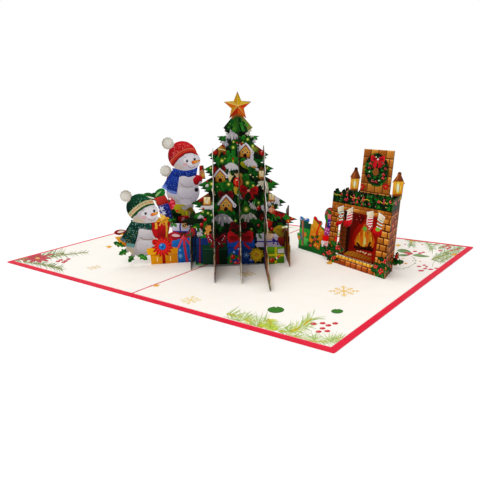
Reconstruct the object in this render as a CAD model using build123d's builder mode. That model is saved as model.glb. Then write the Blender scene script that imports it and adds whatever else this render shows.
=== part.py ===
from build123d import *
import os
from math import atan2, cos, degrees, hypot, radians, sin, sqrt

os.makedirs("parts", exist_ok=True)

# Driving dimensions, in millimetres. X runs along the front edge of the open card,
# Y along its centre crease, and Z up from the table. The origin is under the middle of the crease.
card_width = 300.0
card_depth = 210.0
cover_stock = 0.5
page_stock = 0.3
slice_stock = 0.4
page_margin = 4.0
crease_gap = 1.6
crease_score_depth = 0.25
corner_radius = 1.0
fit = 0.05
overrun = 2.0

page_top = cover_stock + page_stock

# Lattice of the tree: slices that face the viewer and slices that cross them, slotted half and half.
lattice_place_share = (0.079, -0.1038)
cross_angle = -49.0
lattice_pitch = 17.6
tree_lean = 2.3
tree_height = 107.0
tree_radius = 43.0
tree_tip_width = 6.4
lap_share = 0.45
gift_row_height = 22.0
gift_row_bottom = 1.5
branch_foot_height = 12.0
star_radius = 9.8
star_inner_radius = 4.4
star_centre_height = 112.2

# Branch tips from the top down, as shares of the tree's height and radius.
tip_height_shares = (0.916, 0.863, 0.743, 0.654, 0.551, 0.430, 0.314)
tip_reach_shares = (0.233, 0.337, 0.488, 0.572, 0.663, 0.774, 0.965)
# Teeth under each tip: reach as a share of the tip's, drop as a share of the tree's height.
tooth_reach_shares = (0.87, 0.94, 0.80, 0.86, 0.73)
tooth_drop_shares = (0.009, 0.020, 0.028, 0.038, 0.047)

# Tongue under a slice, which passes through a slit in the page.
tongue_width = 6.0
tongue_root = 1.0

# Fireplace: a front and a back sheet, parallel, joined by a folded side. It leans back a little.
hearth_place_share = (0.2367, 0.099)
hearth_angle = -19.0
hearth_lean = 8.5
hearth_width = 57.0
hearth_depth = 17.0
hearth_skew = 9.5
column_width = 8.5
right_column_width = 10.0
hearth_step_height = 6.4
lintel_bottom = 38.5
garland_bottom = 43.5
garland_top = 51.0
garland_bump = 2.4
chimney_left = 9.0
chimney_width = 28.5
chimney_top = 79.5
lantern_width = 8.0
lantern_bottom = 48.0
lantern_eaves = 58.5
lantern_top = 66.0
lantern_ring_radius = 1.6
row_setback = 5.0

# Drawings: places on the slice behind the main face are shares of figure_span, those on the fireplace
# are shares of its width, and those on the gift row are shares of the row's width.
figure_span = 100.0
row_width = 44.0


def direction(angle):
    """Level unit vector at an angle from X, in degrees."""
    return Vector(cos(radians(angle)), sin(radians(angle)), 0)


cross_dir = direction(cross_angle)
face_dir = direction(cross_angle + 90)
hearth_dir = direction(hearth_angle)
hearth_back = direction(hearth_angle + 90)
upright = Vector(0, 0, 1)


def on_page(share):
    """Point just above the page, from its place as shares of the open card's width and depth."""
    return Vector(share[0] * card_width, share[1] * card_depth, page_top + fit)


lattice_origin = on_page(lattice_place_share)
hearth_origin = on_page(hearth_place_share)
hearth_up = upright * cos(radians(hearth_lean)) + hearth_back * sin(radians(hearth_lean))


def facing_plane(set_back):
    """Upright plane that faces the viewer, at a distance behind the tree's main face."""
    return Plane(origin=lattice_origin - cross_dir * set_back, x_dir=face_dir, z_dir=cross_dir)


def crossing_plane(offset):
    """Plane of a cross slice. Its X runs towards the viewer, and it leans with the tree."""
    lean = radians(tree_lean)
    return Plane(
        origin=lattice_origin + face_dir * offset,
        x_dir=cross_dir,
        z_dir=upright * sin(lean) - face_dir * cos(lean),
    )


def hearth_plane(set_back):
    """Plane parallel to the fireplace's front, at a distance behind it."""
    return Plane(
        origin=hearth_origin + hearth_back * set_back,
        x_dir=hearth_dir,
        z_dir=hearth_dir.cross(hearth_up),
    )


# Slices of the lattice: facing ones by their distance behind the main face, crossing ones by their offset.
facing_setbacks = (0.0, lattice_pitch, 2 * lattice_pitch)
crossing_offsets = tuple(lattice_pitch * step for step in (-2, -1, 0, 1, 2))
# How far each crossing slice reaches towards the viewer along the page, and behind the main face.
crossing_reach_shares = (0.07, 0.814, 0.953, 1.349, 0.233)
slice_overhang = 5.0
crossing_rear = 2 * lattice_pitch + slice_overhang


def cone_height(distance):
    """Height of the branch cone at a distance from the tree's axis, or of the gifts outside it."""
    tips = [(0.0, tree_height)]
    for height_share, reach_share in zip(tip_height_shares, tip_reach_shares):
        tips.append((reach_share * tree_radius, height_share * tree_height))
    for (near, high), (far, low) in zip(tips, tips[1:]):
        if distance <= far:
            return high + (low - high) * (distance - near) / (far - near)
    return gift_row_height


def lap_height(set_back, offset):
    """Height at which two slices meet, a little under half way up."""
    return cone_height(hypot(set_back, offset)) * lap_share


def branch_edge(distance):
    """Right-hand edge of the branches in a slice at a distance from the axis, from the top down."""
    crown = cone_height(distance) - tooth_drop_shares[0] * tree_height
    points = [(tree_tip_width / 2, crown)]
    for height_share, reach_share in zip(tip_height_shares, tip_reach_shares):
        tip = (1.0, 0.0)
        for share, drop in (tip, *zip(tooth_reach_shares, tooth_drop_shares)):
            radius = reach_share * tree_radius * share
            height = (height_share - drop) * tree_height
            if radius > distance and height < crown:
                reach = sqrt(radius**2 - distance**2)
                if reach > tree_tip_width / 2:
                    points.append((reach, height))
    return points


def scaled(shares, size):
    """Points given as shares of a size."""
    return [(x * size, y * size) for x, y in shares]


def flat(points):
    """Flat shape with straight edges, to be joined to a die-cut outline."""
    return Polygon(*points, align=None, mode=Mode.PRIVATE)


def disc(at, radius):
    """Round shape, to be joined to a die-cut outline."""
    with Locations(at):
        return Circle(radius, mode=Mode.PRIVATE)


def oval(at, width, height, turn=0.0):
    """Oval shape, to be joined to a die-cut outline."""
    with Locations(at):
        return Ellipse(width / 2, height / 2, rotation=turn, mode=Mode.PRIVATE)


def block(left, bottom, right, top):
    """Upright rectangle, to be joined to a die-cut outline."""
    return flat(((left, bottom), (right, bottom), (right, top), (left, top)))


def branches(distance):
    """Die-cut tree outline of one slice, closed behind the gift row."""
    right = branch_edge(distance)
    right.append((right[-1][0], branch_foot_height))
    left = [(-x, y) for x, y in reversed(right)]
    return [flat([*right, *left])]


def gift_boxes(start, end, bottom, shares):
    """Row of adjoining boxes from start to end, each a share of the gift row's height."""
    width = (end - start) / len(shares)
    edges = [start + index * width for index in range(len(shares) + 1)]
    return [
        block(left, bottom, right, gift_row_height * share)
        for left, right, share in zip(edges, edges[1:], shares)
    ]


def tongues(shares, size):
    """Tongues along a slice's foot, down through the page to the cover. Places are shares of a size."""
    half = tongue_width / 2
    return [block(share * size - half, -page_stock, share * size + half, tongue_root) for share in shares]


# Bow: loop length and height, and knot radius, as shares of its span.
bow_loop_share = 0.54
bow_height_share = 0.38
bow_knot_share = 0.12
bow_rise = 25.0
# Holly leaf: one edge from stalk to tip, as shares of its length.
leaf_edge_shares = (
    (0.0, 0.0), (0.20, 0.20), (0.42, 0.15), (0.52, 0.30), (0.68, 0.15), (0.80, 0.18), (1.0, 0.0),
)
# Rosette and bobble: depth of the notches round the rim.
rosette_petals = 14
rosette_notch_share = 0.86
bobble_tufts = 11
bobble_notch_share = 0.92


def star_outline(centre):
    """Five-pointed star, one point up."""
    points = []
    for step in range(10):
        radius = star_radius if step % 2 == 0 else star_inner_radius
        angle = radians(90 + 36 * step)
        points.append((centre[0] + radius * cos(angle), centre[1] + radius * sin(angle)))
    return [flat(points)]


def bow(at, span, turn=0.0):
    """Ribbon bow: two loops and a knot."""
    lift = radians(turn)
    loops = []
    for side in (-1, 1):
        reach = side * span / 4
        middle = (at[0] + reach * cos(lift), at[1] + reach * sin(lift))
        loops.append(oval(middle, bow_loop_share * span, bow_height_share * span, turn + side * bow_rise))
    return [*loops, disc(at, bow_knot_share * span)]


def leaf(at, length, turn):
    """Holly leaf, pointed, with spikes on both edges."""
    points = scaled(leaf_edge_shares, length)
    points += [(x, -y) for x, y in reversed(points[1:-1])]
    with Locations(Location((at[0], at[1], 0), (0, 0, turn))):
        return flat(points)


def rosette(at, radius, petals, notch_share):
    """Round shape with a notched rim."""
    points = []
    for step in range(2 * petals):
        reach = radius if step % 2 == 0 else radius * notch_share
        angle = radians(180 * step / petals)
        points.append((at[0] + reach * cos(angle), at[1] + reach * sin(angle)))
    return flat(points)


pinhole_width = 1.4


def close_pinholes(outline):
    """Fill the gaps left in an outline that are too small to be cut out."""
    rims = [rim for face in outline.faces() for rim in face.inner_wires()]
    patches = [make_face(rim.edges(), mode=Mode.PRIVATE) for rim in rims]
    patches = [patch for patch in patches if patch.area < pinhole_width**2]
    if patches:
        add(patches)


def cut_facing_slots(set_back):
    """Slots in a facing slice, open at the foot, one for each cross slice."""
    slot = slice_stock / cos(radians(tree_lean)) + 2 * fit
    for offset in crossing_offsets:
        height = lap_height(set_back, offset) + fit
        with Locations(Location((offset, 0, 0), (0, 0, -tree_lean))):
            Rectangle(slot, 2 * height, mode=Mode.SUBTRACT)


# Snowman: sizes of the figure are shares of the drawing's span.
head_width_share = 0.205
head_height_share = 0.165
hat_radius_share = 0.104
bobble_radius_share = 0.044
body_width_share = 0.240
body_height_share = 0.215
chest_radius_share = 0.080
head_width = head_width_share * figure_span
# Places on the figure are shares of the head's width, from the middle of the head.
hat_centre_share = (-0.098, 0.166)
bobble_centre_share = (-0.575, 0.620)
body_centre_share = (-0.190, -1.105)
chest_centre_share = (-0.049, -0.683)
nose_shares = ((0.22, -0.15), (0.52, 0.02), (0.22, 0.01))
scarf_tail_shares = ((-0.49, -0.31), (-0.92, -0.90), (-0.47, -1.22), (-0.18, -0.59))
scarf_band_shares = ((-0.50, -0.25), (0.39, -0.27), (0.33, -0.56), (-0.39, -0.60))


def snowman(head_share):
    """Standing snowman with a bobble hat and a scarf, looking to the right."""
    at = (head_share[0] * figure_span, head_share[1] * figure_span)

    def place(share):
        return (at[0] + share[0] * head_width, at[1] + share[1] * head_width)

    corners = (nose_shares, scarf_tail_shares, scarf_band_shares)
    bobble = place(bobble_centre_share)
    return [
        oval(at, head_width, head_height_share * figure_span),
        disc(place(hat_centre_share), hat_radius_share * figure_span),
        rosette(bobble, bobble_radius_share * figure_span, bobble_tufts, bobble_notch_share),
        oval(place(body_centre_share), body_width_share * figure_span, body_height_share * figure_span),
        disc(place(chest_centre_share), chest_radius_share * figure_span),
        *(flat([place(share) for share in shape]) for shape in corners),
    ]


# The two snowmen in front of the third, and the heap of gifts between them, measured from the tree's axis.
low_head_share = (-0.678, 0.400)
high_head_share = (-0.344, 0.760)
rear_head_share = (-0.396, 0.544)
mitten_share = (-0.274, 0.614)
toy_shares = ((-0.259, 0.620), (-0.213, 0.620), (-0.221, 0.718), (-0.250, 0.718))
held_gift_shares = ((-0.634, 0.320), (-0.490, 0.322), (-0.526, 0.186), (-0.626, 0.206))
yellow_box_shares = (
    (-0.684, 0.128), (-0.676, 0.072), (-0.662, 0.072), (-0.662, 0.0), (-0.464, 0.0), (-0.460, 0.118),
)
blue_box_shares = ((-0.503, 0.180), (-0.500, 0.126), (-0.464, 0.0), (-0.310, 0.0), (-0.310, 0.184))
white_box_shares = ((-0.490, 0.306), (-0.476, 0.170), (-0.310, 0.170), (-0.338, 0.296))
star_box_shares = ((-0.576, 0.450), (-0.496, 0.470), (-0.468, 0.330), (-0.554, 0.310))
star_box_lid_shares = ((-0.600, 0.496), (-0.515, 0.520), (-0.490, 0.466), (-0.576, 0.442))
gold_ribbon_shares = ((-0.908, 0.226), (-0.850, 0.230), (-0.820, 0.140), (-0.860, 0.150))
red_loop_share = (-0.864, 0.260)
candy_share = (-0.468, 0.440)
rosette_share = (-0.568, 0.133)
# Bows and leaves: place, size and turn in degrees.
heap_bow_shares = (
    (-0.554, 0.336, 0.13, 0.0),
    (-0.418, 0.206, 0.20, 8.0),
    (-0.592, 0.520, 0.17, 14.0),
    (-0.400, 0.390, 0.13, -35.0),
)
heap_leaf_shares = (
    (-0.840, 0.155, 0.09, 160.0),
    (-0.810, 0.130, 0.095, 205.0),
    (-0.780, 0.095, 0.085, 235.0),
    (-0.765, 0.098, 0.100, -38.0),
)
mitten_radius_share = 0.038
rosette_radius_share = 0.074
candy_radius_share = 0.030
loop_width_share = 0.090
loop_height_share = 0.042


def snowmen_and_gifts():
    """The lower and the upper snowman, with the heap of gifts that they stand among."""
    sheets = (
        toy_shares, held_gift_shares, yellow_box_shares, blue_box_shares,
        white_box_shares, star_box_shares, star_box_lid_shares, gold_ribbon_shares,
    )
    rosette_centre, loop_centre, mitten, candy = scaled(
        (rosette_share, red_loop_share, mitten_share, candy_share), figure_span
    )
    shapes = [
        *snowman(low_head_share),
        *snowman(high_head_share),
        *(flat(scaled(sheet, figure_span)) for sheet in sheets),
        rosette(rosette_centre, rosette_radius_share * figure_span, rosette_petals, rosette_notch_share),
        oval(loop_centre, loop_width_share * figure_span, loop_height_share * figure_span),
        disc(mitten, mitten_radius_share * figure_span),
        disc(candy, candy_radius_share * figure_span),
    ]
    for x, y, span, turn in heap_bow_shares:
        shapes += bow((x * figure_span, y * figure_span), span * figure_span, turn)
    for x, y, length, turn in heap_leaf_shares:
        shapes.append(leaf((x * figure_span, y * figure_span), length * figure_span, turn))
    return shapes


# Cover: one red sheet, scored along the crease on the side that folds inwards.
with BuildPart() as cover:
    with BuildSketch():
        RectangleRounded(card_width, card_depth, corner_radius)
    extrude(amount=cover_stock)
    with BuildSketch(Plane.XZ.offset(-card_depth / 2 - overrun)):
        with Locations((0, cover_stock)):
            Polygon((-crease_score_depth, 0), (crease_score_depth, 0), (0, -crease_score_depth), align=None)
    extrude(amount=card_depth + 2 * overrun, mode=Mode.SUBTRACT)
cover.part.label = "cover"
export_step(cover.part, "parts/cover.step")

# Tongues of every standing sheet: plane of the sheet, angle of its foot, and places along it.
# Places in the lattice are shares of its pitch, those in the fireplace and gift row of the hearth's width.
facing_angle = cross_angle + 90
facing_tongue_shares = ((1.364,), (-3.239, -1.364, 0.511), (-2.557, 1.477))
crossing_tongue_shares = ((-1.477,), (-1.591, 1.477), (-0.455, 1.705), (-0.455, 2.841), (-1.364,))
hearth_setbacks = (0.0, hearth_depth, row_setback)
hearth_tongue_shares = ((0.351, 0.667), (0.035, 0.596), (-0.579, -0.211))


def slit_places():
    """Centre and angle of each slit in the pages."""
    for set_back, shares in zip(facing_setbacks, facing_tongue_shares):
        for share in shares:
            yield lattice_origin - cross_dir * set_back + face_dir * lattice_pitch * share, facing_angle
    for offset, shares in zip(crossing_offsets, crossing_tongue_shares):
        for share in shares:
            yield lattice_origin + face_dir * offset + cross_dir * lattice_pitch * share, cross_angle
    for set_back, shares in zip(hearth_setbacks, hearth_tongue_shares):
        for share in shares:
            yield hearth_origin + hearth_back * set_back + hearth_dir * hearth_width * share, hearth_angle


# Pages: two pale sheets glued inside the cover, one each side of the crease, slit for the tongues.
page_width = card_width / 2 - page_margin - crease_gap / 2
page_depth = card_depth - 2 * page_margin
slit_width = slice_stock + 4 * fit
slit_length = tongue_width + 2 * fit


def page(side):
    """Sketch of one page. side is -1 for the left one and 1 for the right one."""
    with Locations((side * (crease_gap + page_width) / 2, 0)):
        Rectangle(page_width, page_depth)
    for centre, angle in slit_places():
        if centre.X * side > 0:
            with Locations(Location((centre.X, centre.Y, 0), (0, 0, angle))):
                Rectangle(slit_length, slit_width, mode=Mode.SUBTRACT)


with BuildPart() as left_page:
    with BuildSketch(Plane.XY.offset(cover_stock)):
        page(-1)
    extrude(amount=page_stock)
left_page.part.label = "left_page"
export_step(left_page.part, "parts/left_page.step")

with BuildPart() as right_page:
    with BuildSketch(Plane.XY.offset(cover_stock)):
        page(1)
    extrude(amount=page_stock)
right_page.part.label = "right_page"
export_step(right_page.part, "parts/right_page.step")

# Main face of the tree, with the star. The drawing leans with the lattice, its slots too.
leaning = Location((0, 0, 0), (0, 0, -tree_lean))
main_half_width = 32.0
main_bow_span = 13.0
main_box_shares = (0.98, 1.05, 1.03, 1.05, 1.0)
crown_bottom = tree_height - star_radius
with BuildPart() as tree_face:
    with BuildSketch(facing_plane(0.0)):
        with Locations(leaning):
            outline = [
                *branches(0.0),
                *star_outline((0, star_centre_height)),
                block(-tree_tip_width / 2, crown_bottom, tree_tip_width / 2, star_centre_height),
                *gift_boxes(-main_half_width, main_half_width, gift_row_bottom, main_box_shares),
                *bow((main_half_width - main_bow_span / 2, gift_row_height), main_bow_span),
            ]
        add([*outline, *tongues(facing_tongue_shares[0], lattice_pitch)])
        cut_facing_slots(0.0)
    extrude(amount=slice_stock / 2, both=True)
tree_face.part.label = "tree_face"
export_step(tree_face.part, "parts/tree_face.step")

# Slice behind the face: a lower tree with the snowmen and their gifts at its left.
middle_box_shares = (0.95, 1.05, 1.0, 1.05)
heap_edge_share = -0.34
with BuildPart() as snowman_slice:
    with BuildSketch(facing_plane(lattice_pitch)) as outline:
        with Locations(leaning):
            crown = branches(lattice_pitch)
        add([
            *crown,
            *gift_boxes(heap_edge_share * figure_span, main_half_width, 0.0, middle_box_shares),
            *snowmen_and_gifts(),
            *tongues(facing_tongue_shares[1], lattice_pitch),
        ])
        close_pinholes(outline)
        cut_facing_slots(lattice_pitch)
    extrude(amount=slice_stock / 2, both=True)
snowman_slice.part.label = "snowman_slice"
export_step(snowman_slice.part, "parts/snowman_slice.step")

# Rearmost facing slice: the lowest branches, gifts and a third snowman.
rear_start = -56.0
rear_end = 40.0
rear_bow_span = 14.0
rear_bow_shares = (-0.20, 0.30)
rear_box_shares = ((-0.47, 0.0), (-0.33, 0.0), (-0.34, 0.34), (-0.46, 0.34))
rear_row_shares = (0.85, 1.0, 0.9, 1.05, 0.95, 1.05, 0.9, 0.8)
with BuildPart() as rear_slice:
    with BuildSketch(facing_plane(2 * lattice_pitch)) as outline:
        with Locations(leaning):
            shapes = branches(2 * lattice_pitch)
        for share in rear_bow_shares:
            shapes += bow((share * figure_span, gift_row_height), rear_bow_span)
        add([
            *shapes,
            *gift_boxes(rear_start, rear_end, 0.0, rear_row_shares),
            flat(scaled(rear_box_shares, figure_span)),
            *snowman(rear_head_share),
            *tongues(facing_tongue_shares[2], lattice_pitch),
        ])
        close_pinholes(outline)
        cut_facing_slots(2 * lattice_pitch)
    extrude(amount=slice_stock / 2, both=True)
rear_slice.part.label = "rear_slice"
export_step(rear_slice.part, "parts/rear_slice.step")

# Cross slices: branches either side of the main face, slots open at the top.
# Those that only just reach the face have no branches in front of it.
crossing_names = (
    "cross_slice_far_left",
    "cross_slice_left",
    "cross_slice_middle",
    "cross_slice_right",
    "cross_slice_far_right",
)
front_box_shares = ((0.95,), (1.0, 0.8), (1.05, 0.85), (1.0, 0.8, 0.35), (0.95, 0.7))
behind_box_shares = (0.75, 0.95, 1.0)
slot_width = slice_stock + 2 * fit
crossings = zip(
    crossing_names, crossing_offsets, crossing_reach_shares, front_box_shares, crossing_tongue_shares,
)
for name, offset, reach_share, box_shares, places in crossings:
    reach = reach_share * tree_radius
    with BuildPart() as cross_slice:
        with BuildSketch(crossing_plane(offset)) as outline:
            add(branches(abs(offset)))
            if reach < lattice_pitch:
                with Locations((slot_width / 2, 0)):
                    Rectangle(tree_radius, tree_height, align=(Align.MIN, Align.MIN), mode=Mode.SUBTRACT)
            add([
                *gift_boxes(-crossing_rear, 0.0, 0.0, behind_box_shares),
                *gift_boxes(0.0, reach, 0.0, box_shares),
                *tongues(places, lattice_pitch),
            ])
            for set_back in facing_setbacks:
                height = lap_height(set_back, offset) - fit
                with Locations((-set_back, height)):
                    Rectangle(slot_width, tree_height, align=(Align.CENTER, Align.MIN), mode=Mode.SUBTRACT)
            # Branch tips that a slot cuts loose fall away.
            loose_tips = outline.faces().sort_by(SortBy.AREA)[:-1]
            if loose_tips:
                add(loose_tips, mode=Mode.SUBTRACT)
        extrude(amount=slice_stock / 2, both=True)
    cross_slice.part.label = name
    export_step(cross_slice.part, f"parts/{name}.step")


tuft_turn = 18.0


def garland(start, end, bottom, top):
    """Strip of fir and berries with a ragged edge above and below."""
    count = round((end - start) / (3 * garland_bump))
    tufts = []
    for index in range(count):
        x = start + (index + 0.5) * (end - start) / count
        for y in (bottom, top):
            with Locations((x, y)):
                tufts.append(RegularPolygon(garland_bump, 5, rotation=tuft_turn * index, mode=Mode.PRIVATE))
    return [block(start, bottom, end, top), *tufts]


# Stocking: a leg under a cuff, and a foot to the left. Shares are of its height.
stocking_height = 13.0
stocking_width_share = 0.42
stocking_leg_share = 0.80
stocking_foot_share = 0.63
stocking_sole_share = 0.40
stocking_tilt = 20.0


def stocking(at):
    """Hanging stocking, from the middle of its cuff."""
    half = stocking_height * stocking_width_share / 2
    heel = at[1] - stocking_height * stocking_leg_share
    foot = stocking_height * stocking_foot_share
    toe = at[0] - half * (1 - stocking_sole_share)
    return [
        block(at[0] - half, heel, at[0] + half, at[1]),
        oval((toe, heel), foot, stocking_height * stocking_sole_share, stocking_tilt),
    ]


# Sprig of holly: leaves round a few berries.
berries_share = 0.30
sprig_turns = (15.0, 80.0, 140.0, 200.0)


def holly(share):
    """Sprig at a place and of a size that are shares of the hearth's width."""
    x, y, spread = (value * hearth_width for value in share)
    return [disc((x, y), spread * berries_share), *(leaf((x, y), spread, turn) for turn in sprig_turns)]


# Surround of the fireplace: front and right side are one sheet, folded at the corner.
skew_run = hearth_back * hearth_depth - hearth_dir * hearth_skew
side_dir = skew_run.normalized()
side_shear = side_dir.dot(hearth_up)
side_rise = sqrt(1 - side_shear**2)
side_width = skew_run.length


def side_plane():
    """Plane of the folded side, from the front corner back."""
    corner = hearth_origin + hearth_dir * hearth_width
    return Plane(origin=corner, x_dir=side_dir, z_dir=side_dir.cross(hearth_up))


def sheared(run, height):
    """Point of the side sheet, from its run along the foot and its height up the lean."""
    return (run + height * side_shear, height * side_rise)


# Places along the front, as shares of its width. Each sprig has a size as well.
stocking_place_shares = (0.175, 0.333, 0.675, 0.842)
front_holly_shares = ((0.0, 0.098, 0.123), (0.175, 0.168, 0.123), (0.947, 0.105, 0.140))
cuff_lap = 2.0
side_run = side_width - fit - slice_stock
with BuildPart() as fireplace_surround:
    with BuildSketch(hearth_plane(0.0)):
        add(block(0.0, 0.0, hearth_width, garland_top))
        with Locations((column_width, hearth_step_height)):
            Rectangle(hearth_width - column_width - right_column_width, lintel_bottom - hearth_step_height,
                      align=(Align.MIN, Align.MIN), mode=Mode.SUBTRACT)
        outline = [
            *garland(0.0, hearth_width, garland_bottom, garland_top),
            *tongues(hearth_tongue_shares[0], hearth_width),
        ]
        for share in front_holly_shares:
            outline += holly(share)
        for share in stocking_place_shares:
            outline += stocking((share * hearth_width, lintel_bottom + cuff_lap))
        add(outline)
    extrude(amount=slice_stock / 2, both=True)
    with BuildSketch(side_plane()):
        corners = ((0, 0), (side_run, 0), (side_run, garland_top), (0, garland_top))
        Polygon(*(sheared(run, height) for run, height in corners), align=None)
    extrude(amount=slice_stock / 2, both=True)
fireplace_surround.part.label = "fireplace_surround"
export_step(fireplace_surround.part, "parts/fireplace_surround.step")

# Back of the fireplace: fire and brickwork, with the chimney breast and both lanterns above.
back_inset = 2.0
back_left = back_inset - hearth_skew
back_right = hearth_width - hearth_skew
lantern_place_shares = (0.046, 0.772)
back_holly_share = (0.867, 0.105, 0.133)
# Widths of the lantern's eaves and roof, as shares of its foot.
eaves_share = 1.1
roof_share = 1.35


def lantern(at):
    """Lantern with a pitched roof and a ring on top."""
    half = lantern_width / 2
    foot = ((at - half, lantern_bottom), (at + half, lantern_bottom))
    eaves = ((at + half * eaves_share, lantern_eaves), (at - half * eaves_share, lantern_eaves))
    overhang = half * roof_share
    roof = ((at - overhang, lantern_eaves), (at + overhang, lantern_eaves), (at, lantern_top))
    ring = disc((at, lantern_top - lantern_ring_radius), lantern_ring_radius)
    return [flat((*foot, *eaves)), flat(roof), ring]


with BuildPart() as fireplace_back:
    with BuildSketch(hearth_plane(hearth_depth)):
        outline = [
            block(back_left, 0.0, back_right, garland_bottom),
            *garland(back_left, back_right, garland_bottom - garland_bump, garland_top - garland_bump),
            block(chimney_left, garland_bottom, chimney_left + chimney_width, chimney_top),
            *holly(back_holly_share),
            *tongues(hearth_tongue_shares[1], hearth_width),
        ]
        for share in lantern_place_shares:
            outline += lantern(share * hearth_width)
        add(outline)
    extrude(amount=slice_stock / 2, both=True)
fireplace_back.part.label = "fireplace_back"
export_step(fireplace_back.part, "parts/fireplace_back.step")

# Row of gifts between the tree and the fireplace. Places and sizes are shares of the row's width.
row_box_shares = (
    ((-0.932, 0.0), (-0.609, 0.0), (-0.600, 0.486), (-0.945, 0.486)),
    ((-0.625, 0.0), (-0.273, 0.0), (-0.273, 0.182), (-0.625, 0.182)),
    ((-0.614, 0.205), (-0.327, 0.091), (-0.214, 0.441), (-0.586, 0.573)),
    ((-0.295, 0.0), (0.068, 0.0), (0.068, 0.682), (-0.250, 0.636)),
)
row_bow_shares = ((-0.832, 0.520, 0.273, 0.0), (-0.464, 0.555, 0.250, -20.0))
row_leaf_shares = ((-0.909, 0.136, 0.159, 120.0), (-0.409, 0.136, 0.159, 60.0), (-0.045, 0.659, 0.182, 95.0))
row_berries_share = (-0.159, 0.705)
row_berries_radius = 6.0
with BuildPart() as gift_row:
    with BuildSketch(hearth_plane(row_setback)) as outline:
        berries_at = (row_berries_share[0] * row_width, row_berries_share[1] * row_width)
        shapes = [
            *(flat(scaled(box, row_width)) for box in row_box_shares),
            disc(berries_at, row_berries_radius),
            *tongues(hearth_tongue_shares[2], hearth_width),
        ]
        for x, y, span, turn in row_bow_shares:
            shapes += bow((x * row_width, y * row_width), span * row_width, turn)
        for x, y, length, turn in row_leaf_shares:
            shapes.append(leaf((x * row_width, y * row_width), length * row_width, turn))
        add(shapes)
        close_pinholes(outline)
    extrude(amount=slice_stock / 2, both=True)
gift_row.part.label = "gift_row"
export_step(gift_row.part, "parts/gift_row.step")
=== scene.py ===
import random
from math import atan2, cos, degrees, hypot, pi, radians, sin

import bpy
from mathutils import Matrix, Vector
from mathutils.bvhtree import BVHTree
from mathutils.geometry import delaunay_2d_cdt


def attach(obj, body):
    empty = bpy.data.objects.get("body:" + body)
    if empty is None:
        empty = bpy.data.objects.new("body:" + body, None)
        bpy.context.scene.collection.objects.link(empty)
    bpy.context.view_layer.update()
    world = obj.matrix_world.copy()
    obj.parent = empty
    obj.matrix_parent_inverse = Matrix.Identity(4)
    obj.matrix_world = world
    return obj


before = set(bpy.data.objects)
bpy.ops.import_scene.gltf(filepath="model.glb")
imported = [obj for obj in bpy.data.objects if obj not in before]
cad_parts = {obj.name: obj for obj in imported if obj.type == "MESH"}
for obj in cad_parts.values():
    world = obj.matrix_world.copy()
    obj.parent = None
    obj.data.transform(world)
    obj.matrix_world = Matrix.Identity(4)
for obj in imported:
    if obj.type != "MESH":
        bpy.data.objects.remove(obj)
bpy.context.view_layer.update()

# The camera of the photograph, in millimetres and pixels of its 480 x 480 frame.
PAGE = 0.8
EYE = Vector((269.11, -307.67, 116.17 + PAGE))
YAW, PITCH, ROLL = radians(-38.32), radians(14.525), radians(-2.726)
FOCAL, CX, CY, SIDE, SENSOR = 543.24, 260.0, 240.0, 480.0, 36.0
ahead = Vector((cos(PITCH) * sin(YAW), cos(PITCH) * cos(YAW), -sin(PITCH)))
level = Vector((cos(YAW), -sin(YAW), 0.0))
over = level.cross(ahead)
across = cos(ROLL) * level + sin(ROLL) * over
upwards = -sin(ROLL) * level + cos(ROLL) * over

# Parts of the photograph that are drawn at a larger scale: the left and top pixel of each, and its scale.
TREE_TOP, TREE_MIDDLE, TREE_FOOT = (205, 88, 22.4), (190, 150, 15.68), (185, 200, 13.07)
UPPER_FIGURE, LOWER_FIGURE = (105, 125, 14.93), (100, 185, 15.68)
FIREPLACE, GIFTS = (300, 130, 9.8), (285, 200, 24.12)
LEFT_CORNER, NEAR_CORNER, RIGHT_CORNER = (0, 230, 6.533), (200, 240, 5.6), (330, 230, 10.45)

# The slotted lattice and the fireplace, as they stand on the pages, in millimetres and radians.
CROSS, HEARTH = radians(-49.0), radians(-19.0)
LEAN_TREE, LEAN_HEARTH = radians(2.3), radians(8.5)
SLICE_PITCH = 17.6
# Height of the fir's tip on every slice, and half the width of the fir at its foot.
TIP, FIR_REACH = 106.0, 47.0
# Width and depth of the fireplace, how far its side draws in to the back, and how far back the gifts stand.
HEARTH_WIDTH, HEARTH_DEPTH, SIDE_SPLAY, GIFTS_BACK = 57.0, 17.0, 9.5, 5.0
# Half the thickness of an upright sheet, its clearance over the page, and how far print lies off a sheet
# and off a page.
HALF_CARD, FOOT_GAP, INK_LIFT, PAGE_INK_LIFT = 0.2, 0.05, 0.012, 0.02
UP = Vector((0, 0, 1))
cross_dir = Vector((cos(CROSS), sin(CROSS), 0))
face_dir = Vector((-cross_dir.y, cross_dir.x, 0))
lattice = Vector((23.7, -21.798, PAGE + FOOT_GAP))
hearth_dir = Vector((cos(HEARTH), sin(HEARTH), 0))
hearth_back = Vector((-hearth_dir.y, hearth_dir.x, 0))
hearth_up = UP * cos(LEAN_HEARTH) + hearth_back * sin(LEAN_HEARTH)
hearth = Vector((71.01, 20.79, PAGE + FOOT_GAP))
# How far a border between colours may be straightened, at the edge of a sheet and inside it.
RIM_BEND, FIELD_BEND = 0.0004, 0.012
# Corners this near are one, and a point this near to a triangle is on it.
MERGE = 1e-4


def linear(text):
    """Linear colour from a hexadecimal sRGB colour."""
    out = []
    for i in (0, 2, 4):
        c = int(text[i : i + 2], 16) / 255
        out.append(c / 12.92 if c <= 0.04045 else ((c + 0.055) / 1.055) ** 2.4)
    return tuple(out)


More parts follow.
